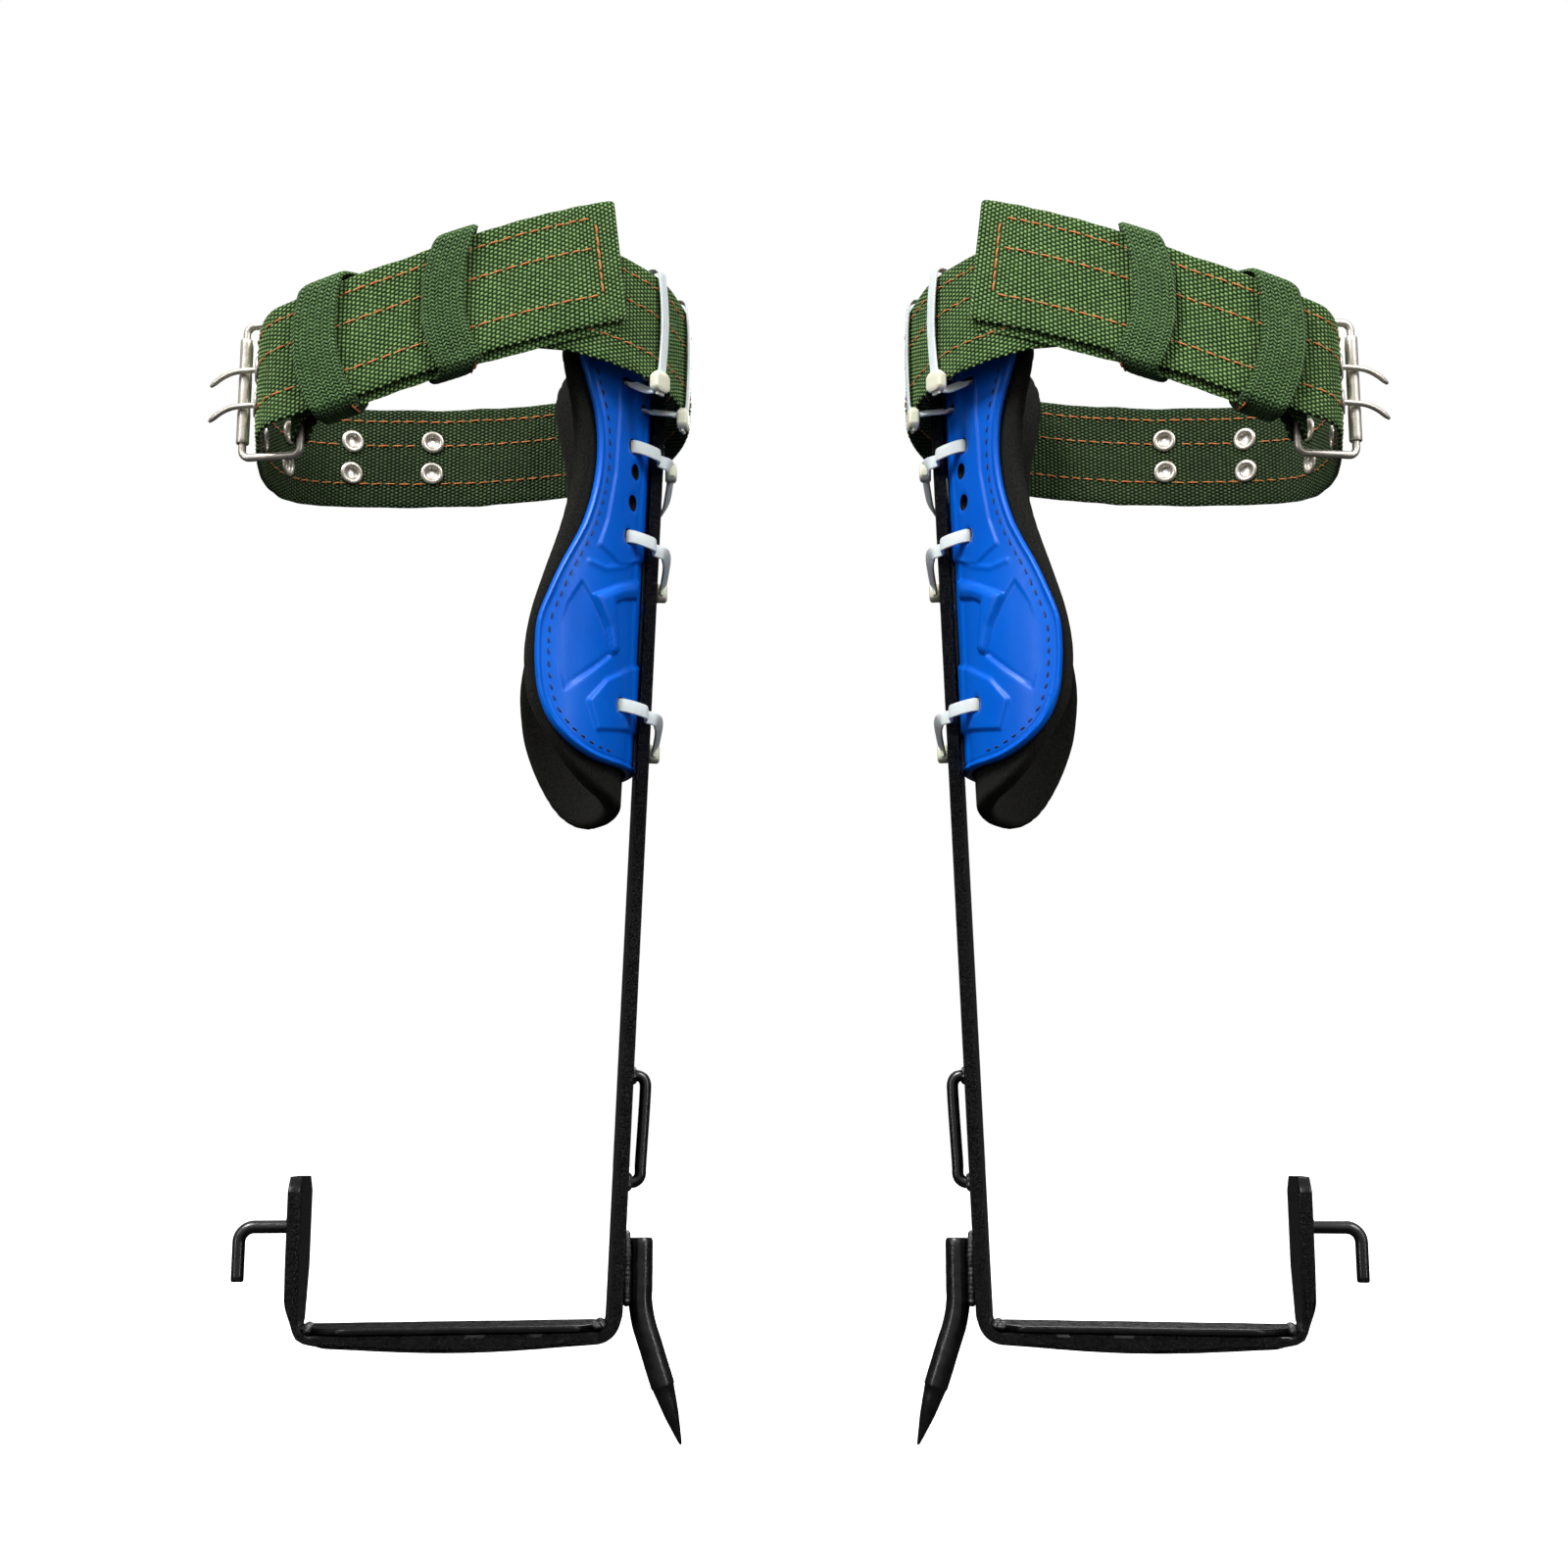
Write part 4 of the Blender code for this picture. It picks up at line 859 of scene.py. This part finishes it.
def belt(side):
    line = corner_cut(belt_line())
    normal = plan_normals(line)
    outer, inner = web_grid(line, KNUCKLES_ACROSS, WEB_CORE, seed=41, lean_by=TAIL_LEAN)
    centre = (outer + inner) / 2
    middle = (centre[1:, 1:] + centre[:-1, :-1]) / 2
    keep = np.ones(middle.shape[:2], bool)
    holes = [side.centre("eyelet_%d" % number) for number in range(1, 11)]
    for hole in holes:
        away = np.linalg.norm(middle - hole, axis=-1)
        row = np.unravel_index(np.argmin(away), away.shape)[0]
        away[:max(row - 6, 0)] = away[row + 7:] = 99
        keep &= away > EYELET_CUT
    from_heel = np.hypot(middle[..., 0] - HEEL[0], middle[..., 1] - HEEL[1])
    for z in (BUCKLE_Z + PRONG_RISE, BUCKLE_Z - PRONG_RISE):
        keep &= (from_heel > 5.2) | (np.abs(middle[..., 2] - z) > 1.7)
    webbing = side.add("belt_webbing", slab(outer, inner, keep, cell_map), "web", "belt", sharp=75)
    # The inner faces get the darker copy of the webbing as painted shade.
    webbing.data.materials.append(LOOKS["inside_web"])  # the panel's first faces are outer and inner by turns
    for face in webbing.data.polygons[:2 * int(keep.sum())]:
        face.material_index = face.index % 2

    s = lengths(line)
    box_at = int(np.searchsorted(s, s[-1] - TAIL_BOX))
    rows = [round(share * 2 * KNUCKLES_ACROSS) for share in STITCH_ROWS]
    threads = []
    for seed, col in enumerate(rows):
        for sheet, way in ((outer, 1), (inner, -1)):
            run = slice(3, box_at)
            threads += dashes(sheet[run, col] + normal[run] * way * 0.1, normal[run] * way, 5.0, 1.5, 0.36,
                              60 + seed)
    for sheet, way in ((outer, 1), (inner, -1)):
        cols = slice(rows[0], rows[-1] + 1)
        n = np.repeat(normal[box_at][None], rows[-1] + 1 - rows[0], 0) * way
        threads += dashes(sheet[box_at, cols] + n * 0.12, n, 4.6, 0.9, 0.42, 77)
    front = [i for i in range(len(line)) if line[i, 1] < -50 and i < len(line) * 0.3]
    for x_at in (-46.0, 2.0):
        i = min(front, key=lambda k: abs(line[k, 0] - x_at) + (9 if k < 40 and x_at > 0 else 0))
        for shift in (0, 3):
            n = np.repeat(-normal[i][None], 30, 0)
            threads += dashes(inner[i + shift, 1:31] + n * 0.15, n, 2.2, 0.7, 0.42, 80 + shift)
    threads = [stitch for stitch in threads
               if min(np.linalg.norm(stitch.verts.mean(0) - hole) for hole in holes) > STITCH_CLEAR]
    side.add("belt_stitching", joined(threads), "thread", "belt", stands_for=False)

    start = int(np.argmin(np.abs(line[:, 0] + 66) + 50 * (np.arange(len(line)) < len(line) * 0.7)))
    lining = corner_cut(line[start:-2], 2.0)
    faces = web_grid(lining, KNUCKLES_ACROSS, 0.55, drop=-3.8, push=-2.0, seed=43, wave=0.12,
                     lean_by=TAIL_LEAN)
    centre = (faces[0] + faces[1]) / 2
    thin = [centre + (face - centre) * 0.75 for face in faces]
    side.add("belt_tail_lining", slab(thin[0], thin[1], None, cell_map), "web", "belt", stands_for=False,
             sharp=75)
    return line


def keeper(side, line, index, x, half, deep, tall, drawn):
    """A sewn loop of finer webbing that slides along the belt, its front drawn along from its rear."""
    run = [i for i in range(len(line)) if i > len(line) * 0.6 and line[i, 1] < -40]
    i = min(run, key=lambda k: abs(line[k, 0] - x))
    spot, ahead = line[i, :3], unit(line[i + 1, :3] - line[i - 1, :3])
    front = unit(np.array([ahead[1], -ahead[0], 0]))
    out, into, wall = 2.6, deep - 2.6, 1.5
    middle = (out - into) / 2
    ring = rounded_rect(out + into + wall, 2 * tall + wall, 4.4, 8)
    ring = np.vstack([ring, ring[:1]])
    length = np.linalg.norm(np.diff(ring, axis=0), axis=1).sum()
    count = round(length / 0.56)
    ring = respaced(ring, length / count, 2)[:-1]
    rows_round = round(length / KEEPER_ROW)
    away = np.roll(ring, -1, 0) - np.roll(ring, 1, 0)
    away = unit(np.column_stack([away[:, 1], -away[:, 0]]))
    top, belly, foot = drawn
    high = np.clip(ring[:, 1] / tall, -1, 1)
    forward = np.clip((ring[:, 0] + (out + into) / 2) / (out + into), 0, 1)
    drawn_by = forward * (belly + (top - foot) / 2 * high + ((top + foot) / 2 - belly) * high ** 2)
    bulge = 0.9 * forward ** 3 * (1 - high ** 2)
    along = np.arange(count) * rows_round / count
    across = 2 * round(2 * half / 1.15)
    columns = 2 * half / KEEPER_COLUMN
    outer, inner = [], []
    for k in range(across + 1):
        share = k / across
        near_edge = min(k, across - k, 3) / 3
        column = share * columns
        climb = along + 1.2 * abs(column / 2 % 1 - 0.5)
        rise = (0.3 * np.abs(np.sin(math.pi * climb)) - 0.1) * near_edge
        u = (2 * share - 1) * half
        droop = 1.5 * abs(2 * share - 1) ** 6 * high ** 5
        slack = 0.25 * ripple(np.column_stack([ring, np.full(count, u)]), 30, 50 + index, 2)
        curl = 0.35 * (2 * share - 1) ** 4 * forward
        for rows, way in ((outer, 1), (inner, -1)):
            thick = wall / 2 * (0.5 + 0.5 * math.sqrt(near_edge)) - 0.16
            p = ring + away * (way * (thick + rise) + np.clip(slack, -0.2, 0.25) + bulge + curl)[:, None]
            rows.append(spot + np.outer(u + drawn_by, ahead) + np.outer(middle + p[:, 0], front)
                        + np.outer(p[:, 1] - droop, (0, 0, 1)))
    rings = np.concatenate([np.array(outer), np.array(inner)[::-1]])

    def cells(a, b):
        k = a if a <= across else 2 * across + 1 - a
        return b * rows_round / count, max(k, 0) * columns / across

    side.add("belt_keeper_%d" % index, loft(rings, closed=True, uv=cells), "fine_web", "keeper_%d" % index,
             sharp=75)
    seams = []
    for line_of in ([(out - 1.0 - (out + into - 4.0) * t, -tall - wall) for t in np.linspace(0, 1, 14)],
                    [(-into - wall, w) for w in np.linspace(-tall + 4, tall - 4, 40)]):
        flat = line_of[0][1] == line_of[-1][1]
        seam = np.array([spot + ahead * (half - 2.2 + (foot * (v + into) / (out + into) if flat else 0)) + front * v
                         + np.array([0, 0, w]) for v, w in line_of])
        out_of = np.array([0, 0, -1.0]) if flat else -front
        seams += dashes(seam, np.repeat([out_of], len(seam), 0), 2.5, 0.8, 0.4, 90 + index + 5 * int(flat))
    side.add("keeper_%d_stitching" % index, joined(seams), "thread", "keeper_%d" % index, stands_for=False)


def eyelets(side, line):
    half = WEB_CORE / 2 + 0.42
    for number in range(1, 11):
        at = side.centre("eyelet_%d" % number)
        i = int(np.argmin(np.linalg.norm(line[:, :2] - at[:2], axis=1)))
        ahead = line[min(i + 2, len(line) - 1), :3] - line[i - 2, :3]
        place = frame_of(at, (ahead[0], ahead[1], 0), (0, 0, 1))
        profile = []
        for way in (1, -1):
            dome = [(3.05, half * 0.3)] if number < 3 else [(1.3, 0.12), (2.5, half * 0.25),
                                                            (3.0, half * 0.6)]
            dome += [(4.22 - 1.17 * math.cos(t), half + 0.86 * math.sin(t))
                     for t in np.linspace(0, math.pi, 11)]
            dome += [(5.25, half + 0.02), (4.3, half - 0.1), (3.6, half - 0.3)]
            profile += [(r, v * way) for r, v in (dome if way > 0 else dome[::-1])]
        side.add("belt_eyelet_%d" % number, lathe(place, profile, 32), "nickel", "eyelet_%d" % number,
                 sharp=50)


# ---- Buckle

def prong_frame(z):
    """u runs from the heel bar to the roller, v outward from the loop."""
    return frame_of((HEEL[0], HEEL[1], z), (ROLLER_XY[0] - HEEL[0], ROLLER_XY[1] - HEEL[1], 0), (0, 0, 1))


def buckle(side):
    reach = math.dist(HEEL, ROLLER_XY)
    place = prong_frame(0.0)
    low, high, corner, path = BUCKLE_Z - BUCKLE_HALF, BUCKLE_Z + BUCKLE_HALF, 3.4, []
    for u, z, start in ((0, low, 180), (reach, low, 270), (reach, high, 0), (0, high, 90)):
        cu = u + (corner if u == 0 else -corner)
        cz = z + (corner if z == low else -corner)
        path += [(x, 0.0, w) for x, w in arc((cu, cz), corner, start, start + 90, 8)]
    wire = tube(place(filled(path, 2.5, 1)), WIRE_R, 18, closed=True)
    side.add("buckle_wire", wire, "nickel", "buckle_frame", sharp=50)
    joint = respaced(place([(0, 0, BUCKLE_Z - 1.4), (0, 0, BUCKLE_Z + 1.4)]), 0.35)
    swell = WIRE_R + 0.12 * np.sin(np.linspace(0, math.pi, len(joint))) + 0.04
    side.add("buckle_butt_weld", tube(joint, swell, 16), "nickel", "buckle_frame", stands_for=False)

    at = frame_of((ROLLER_XY[0], ROLLER_XY[1], BUCKLE_Z), (1, 0, 0), (0, 1, 0))
    profile = [(WIRE_R + 0.35, -ROLLER_HALF + 0.3), (WIRE_R + 0.5, -ROLLER_HALF),
               (ROLLER_R - 0.25, -ROLLER_HALF),
               (ROLLER_R, -ROLLER_HALF + 0.35)]
    profile += [(ROLLER_R, v) for v in np.linspace(-ROLLER_HALF + 2, ROLLER_HALF - 2, 20)]
    profile += [(ROLLER_R, ROLLER_HALF - 0.35), (ROLLER_R - 0.25, ROLLER_HALF), (WIRE_R + 0.5, ROLLER_HALF),
                (WIRE_R + 0.35, ROLLER_HALF - 0.3)]
    profile = [(r - (0.14 if abs(abs(v) - PRONG_RISE) < 1.3 and r > ROLLER_R - 0.01 else 0), v)
               for r, v in profile]
    side.add("buckle_tube", lathe(at, profile, 26), "nickel", "buckle_roller", sharp=50)

    for name, z in (("upper", BUCKLE_Z + PRONG_RISE), ("lower", BUCKLE_Z - PRONG_RISE)):
        place = prong_frame(z)
        ring = [(-PRONG_EYE * math.cos(math.radians(t)), PRONG_EYE * math.sin(math.radians(t)), 0.0)
                for t in range(-150, 91, 20)]
        over = ROLLER_R + PRONG_R + 0.35
        shaft = [(6.0, PRONG_EYE + 0.3, 0.0), (reach - 4.0, over, 0.0), (reach + 2.0, over, -0.2),
                 (reach + 6.0, over - 0.3, -1.0), (reach + 10.0, over - 0.9, -2.6),
                 (reach + 14.0, over - 1.8, -5.0)]
        line = respaced(smooth(place(ring + shaft), 6), 0.8)
        radii = np.full(len(line), PRONG_R)
        radii[-4:] = (1.18, 1.1, 0.98, 0.8)
        side.add("buckle_prong_" + name, tube(line, radii, 14, round_ends=4), "nickel", "prong_" + name,
                 sharp=50)


# ---- Nylon ties

def band(path, normal, across, width, thick, ribs):
    """A tie's flat band along a closed path, its outer face ribbed but for a smooth margin."""
    rings = []
    for k, (p, n, c) in enumerate(zip(path, normal, across)):
        rib = ribs if k % 2 else -ribs / 2
        h, w = thick / 2, width / 2
        rings.append([p + n * a + c * b for a, b in ((-h, -w + 0.3), (-h, w - 0.3), (-h * 0.5, w),
                                                     (h * 0.5, w),
                                                     (h, w - 0.35), (h, w - 0.9), (h + rib, w - 1.05),
                                                     (h + rib, -w + 1.05), (h, -w + 0.9), (h, -w + 0.35),
                                                     (h * 0.5, -w), (-h * 0.5, -w))])
    return loft(rings, closed=True)


def tie_head(place, size):
    """A tie's locking head: a chamfered block with a stepped mouth and the cut stub of its tail."""
    wide, deep, tall = size
    rings = []
    for w, grow in ((-tall / 2, 0.62), (-tall / 2 + 0.3, 0.74), (-tall / 2 + 1.7, 0.99),
                    (-tall / 2 + 2.1, 1.0),
                    (tall / 2 - 2.1, 1.0), (tall / 2 - 1.7, 0.99), (tall / 2 - 0.3, 0.74), (tall / 2, 0.62)):
        ring = rounded_rect(wide * grow, deep * (0.5 + 0.5 * grow), 1.2, 5)
        rings.append(place(np.column_stack([ring, np.full(len(ring), w)])))
    mouth, stub = rounded_rect(wide * 0.62, deep * 0.6, 0.5, 3), rounded_rect(wide * 0.5, 1.2, 0.35, 3)
    mouths = [place(np.column_stack([mouth * g, np.full(len(mouth), w)]))
              for w, g in ((tall / 2 - 0.4, 1.0), (tall / 2 + 0.5, 0.96), (tall / 2 + 0.7, 0.8))]
    stubs = [place(np.column_stack([stub, np.full(len(stub), w)]))
             for w in (-tall / 2 - 1.3, -tall / 2 + 0.4)]
    return joined([loft(rings), loft(mouths), loft(stubs)])


def evened(points, pitch):
    """A smooth closed line through points, of an even number of stations."""
    loop = np.vstack([points[-1:], points, points[:2]])
    line = respaced(smooth(loop, 12)[12:-12], pitch)[:-1]
    return line if len(line) % 2 == 0 else np.delete(line, len(line) // 2, 0)


def twisted(line, across, degrees):
    """The across directions turned about a closed line by an angle at each station."""
    along, turn = tangents(line, closed=True), np.radians(degrees)[:, None]
    return unit(across * np.cos(turn) + np.cross(along, across) * np.sin(turn))


def outward_normals(line, across):
    normal = unit(np.cross(tangents(line, closed=True), across))
    return normal if np.sum((line - line.mean(0)) * normal) > 0 else -normal


def shank_ties(side):
    for index, (near, far, head) in enumerate(SHANK_TIES, 1):
        def cup_middle(z):
            return shank_x(z) - BAR_THICK / 2 - CUP_BACK_GAP - CUP_R

        points, out = [], BAR_THICK
        for y, by in ((-27.0, None), (-22.5, 1.9), (-18.8, 2.4), (-16.6, out + 1.6), (-13.2, out + 3.3),
                      (-8.0, out + 4.0), (0.0, out + 4.1), (8.0, out + 4.0), (13.2, out + 3.4),
                      (16.6, out + 1.8),
                      (18.8, 2.4), (22.5, 1.9), (27.0, None)):
            z = tie_height(near, far, y)
            on_cup = cup_middle(z) + math.sqrt((CUP_R + 0.4) ** 2 - y * y)
            x = on_cup if by is None else shank_x(z) - BAR_THICK / 2 + by
            points.append((x, y, z))
        inner_r = CUP_R - CUP_THICK - 1.1
        for y in (20.0, 10.0, 0.0, -10.0, -20.0):
            z = tie_height(near, far, y)
            points.append((cup_middle(z) + math.sqrt(inner_r ** 2 - y * y), y, z))
        line = evened(np.array(points), 0.55)
        across = np.repeat([(0.0, 0.0, 1.0)], len(line), 0)
        beyond = line[:, 0] - shank_x(line[:, 2]) - BAR_THICK / 2
        faces_down = twisted(line, across, 34.0 * ease((beyond - 0.5) / 2.5))
        way = 1 if np.max(outward_normals(line, faces_down)[beyond > 3][:, 2]) < 0 else -1
        across = twisted(line, across, way * 34.0 * ease((beyond - 0.5) / 2.5))
        strip = band(line, outward_normals(line, across), across, SHANK_TIE_WIDTH, TIE_THICK, 0.11)
        side.add("shank_tie_band_%d" % index, strip, "nylon", "shank_tie_%d" % index, sharp=35)
        z = tie_height(near, far, 11.2 * head)
        place = frame_of((shank_x(z) + BAR_THICK / 2 + 3.8, 11.2 * head, z), (0, 0, 1), (0, head, 0))
        side.add("shank_tie_head_%d" % index, tie_head(place, (8.2, 5.0, 7.0)), "nylon_head",
                 "shank_tie_%d" % index,
                 stands_for=False, sharp=50)


def strap_ties(side):
    for index, (belt_at, turn, middle, half, slot_low, bow, head_at) in enumerate(BELT_TIES, 1):
        slot_z = slot_low + 7.0
        x, y, _ = cup_point(np.array(CUP_R * math.radians(turn)), np.array(slot_z), CUP_R)
        reach = math.hypot(belt_at[0] - x, belt_at[1] - y)
        place = frame_of((x, y, 0.0), (belt_at[0] - x, belt_at[1] - y, 0), (0, 0, 1))
        behind, low, high = -CUP_THICK - 1.0, middle - half, middle + half
        out, down = head_at
        foot = reach + out + 1.6
        path = [(max(foot, reach + 2.8), bow * 0.3, low - 0.5), (reach + 3.4, bow * 0.8, low + half * 0.5),
                (reach + 3.6, bow, middle), (reach + 3.4, bow * 0.9, middle + half * 0.5),
                (reach + 2.6, bow * 0.7, high - 2.0), (reach + 1.9, bow * 0.62, high + 0.2),
                (reach + 0.5, bow * 0.5, high + 1.3), (reach - 1.2, bow * 0.2, high + 1.3),
                (reach - 2.5, 0, high + 0.1), (reach - 3.4, 0, high - 3.0), (reach - 4.2, 0, middle),
                (reach - 4.6, 0, slot_z + 13.0), (2.0, 0, slot_z + 8.0), (behind, 0, slot_z + 6.0),
                (behind, 0, slot_z - 6.0), (2.0, 0, slot_z - 8.0), (reach - 3.0, 0, low - 1.6),
                (foot - 1.0, 0, low - 2.9), (foot, 0, low - 2.0)]
        line = evened(np.array(path), 0.5)
        tail_run = ease((line[:, 0] - 1.0) / 3.0) * ease((slot_z - 3.0 - line[:, 2]) / 3.0)
        tail_run = tail_run * (line[:, 0] < foot - 1.5)
        across = twisted(line, np.repeat([(0.0, 1.0, 0.0)], len(line), 0), 40.0 * tail_run)
        turned = [place(v) - place((0.0, 0.0, 0.0)) for v in (outward_normals(line, across), across)]
        strip = band(place(line), turned[0], turned[1], 2 * STRAP_TIE_HALF, TIE_THICK, 0.03)
        side.add("strap_tie_band_%d" % index, strip, "nylon", "strap_tie_%d" % index, sharp=35)
        outward = unit(place((1.0, 0, 0)) - place((0.0, 0, 0)))
        head = frame_of(place((reach + out + 2.3, 0.0, low + down + 4.2)), np.cross(outward, (0, 0, 1)),
                        (0, 0, 1))
        side.add("strap_tie_head_%d" % index, tie_head(head, (9.2, 4.8, 8.6)), "nylon_head",
                 "strap_tie_%d" % index,
                 stands_for=False, sharp=50)


# ---- Studio

# Grey of the surroundings that light and reflect, by height plus a share for the front; the camera sees white
WORLD_GREYS = ((0.0, 0.035), (0.45, 0.36), (1.0, 0.85))
FRONT_SHARE = 0.4


def put(name, data, place, turn=(0, 0, 0)):
    obj = bpy.data.objects.new(name, data)
    obj.location, obj.rotation_euler = place, turn
    bpy.context.scene.collection.objects.link(obj)
    return obj


def studio():
    lens = bpy.data.cameras.new("camera")
    lens.sensor_width, lens.lens, lens.clip_start = 36.0, 45.54, 0.01
    bpy.context.scene.camera = put("camera", lens, (0.0, -0.850, 0.08065),
                                   (math.pi / 2 + math.radians(9.811), 0.0, math.radians(0.4246)))

    world = bpy.data.worlds.new("white_studio")
    world.use_nodes = True
    tree, shader = world.node_tree, world.node_tree.nodes["Background"]
    split = tree.nodes.new("ShaderNodeSeparateXYZ")
    tree.links.new(tree.nodes.new("ShaderNodeTexCoord").outputs["Generated"], split.inputs[0])
    ramp = tree.nodes.new("ShaderNodeValToRGB")
    ramp.color_ramp.elements.new(0.5)
    for stop, (position, grey) in zip(ramp.color_ramp.elements, WORLD_GREYS):
        stop.position, stop.color = position, (grey, grey, grey, 1)
    toward = tree.nodes.new("ShaderNodeMath")
    toward.operation = "MULTIPLY_ADD"
    toward.inputs[1].default_value = -FRONT_SHARE
    tree.links.new(split.outputs["Y"], toward.inputs[0])
    tree.links.new(split.outputs["Z"], toward.inputs[2])
    tree.links.new(toward.outputs[0], ramp.inputs[0])
    tree.links.new(ramp.outputs["Color"], shader.inputs["Color"])
    white, mix = tree.nodes.new("ShaderNodeBackground"), tree.nodes.new("ShaderNodeMixShader")
    white.inputs["Color"].default_value = (1, 1, 1, 1)
    tree.links.new(tree.nodes.new("ShaderNodeLightPath").outputs["Is Camera Ray"], mix.inputs[0])
    tree.links.new(shader.outputs[0], mix.inputs[1])
    tree.links.new(white.outputs[0], mix.inputs[2])
    tree.links.new(mix.outputs[0], tree.nodes["World Output"].inputs[0])
    bpy.context.scene.world = world
    bpy.context.scene.view_settings.view_transform = "Standard"

    floor_mesh = bpy.data.meshes.new("floor")
    s = 6.0
    floor_mesh.from_pydata([(-s, -s, 0), (s, -s, 0), (s, s, 0), (-s, s, 0)], [], [(0, 1, 2, 3)])
    look = Look("white_floor", (0.85, 0.85, 0.85), 0.9, Emission_Color=(1, 1, 1, 1), Emission_Strength=0.9)
    look.into("Base Color", look.ramp(look.noise(3, 2), (0.3, 0.84), (0.7, 0.87)))
    floor_mesh.materials.append(look.mat)
    floor = put("floor", floor_mesh, (0, 0, -0.0525))
    floor.visible_glossy = floor.visible_diffuse = False

    for name, place, aim, size, power in (("left_strip", (-1.6, -1.3, 0.5), (0, 0, 0.2), (0.12, 1.4), 6.0),
                                          ("right_strip", (1.6, -1.3, 0.5), (0, 0, 0.2), (0.12, 1.4), 6.0),
                                          ("key", (-1.0, -1.3, 1.9), (0, 0, 0.3), (0.8, 0.8), 56.0),
                                          ("fill", (1.2, -1.3, 1.7), (0, 0, 0.25), (0.8, 0.8), 27.0),
                                          ("back", (0.2, 1.6, 1.4), (0, 0, 0.3), (1.0, 1.0), 16.0)):
        lamp = bpy.data.lights.new(name, "AREA")
        lamp.shape = "RECTANGLE"
        lamp.size, lamp.size_y, lamp.energy = *size, power
        x, y, z = np.subtract(place, aim)
        put(name, lamp, place, (math.atan2(math.hypot(x, y), z), 0, math.atan2(x, -y)))


def iron(side):
    leg_iron(side)
    foot_plate(side)
    gaff(side)
    rods(side)
    calf_shell(side)
    foam_pad(side)
    line = belt(side)
    for index, row in enumerate(KEEPERS, 1):
        keeper(side, line, index, *row)
    eyelets(side, line)
    buckle(side)
    shank_ties(side)
    strap_ties(side)


studio()
iron(Side("left_", -1))
iron(Side("right_", 1))
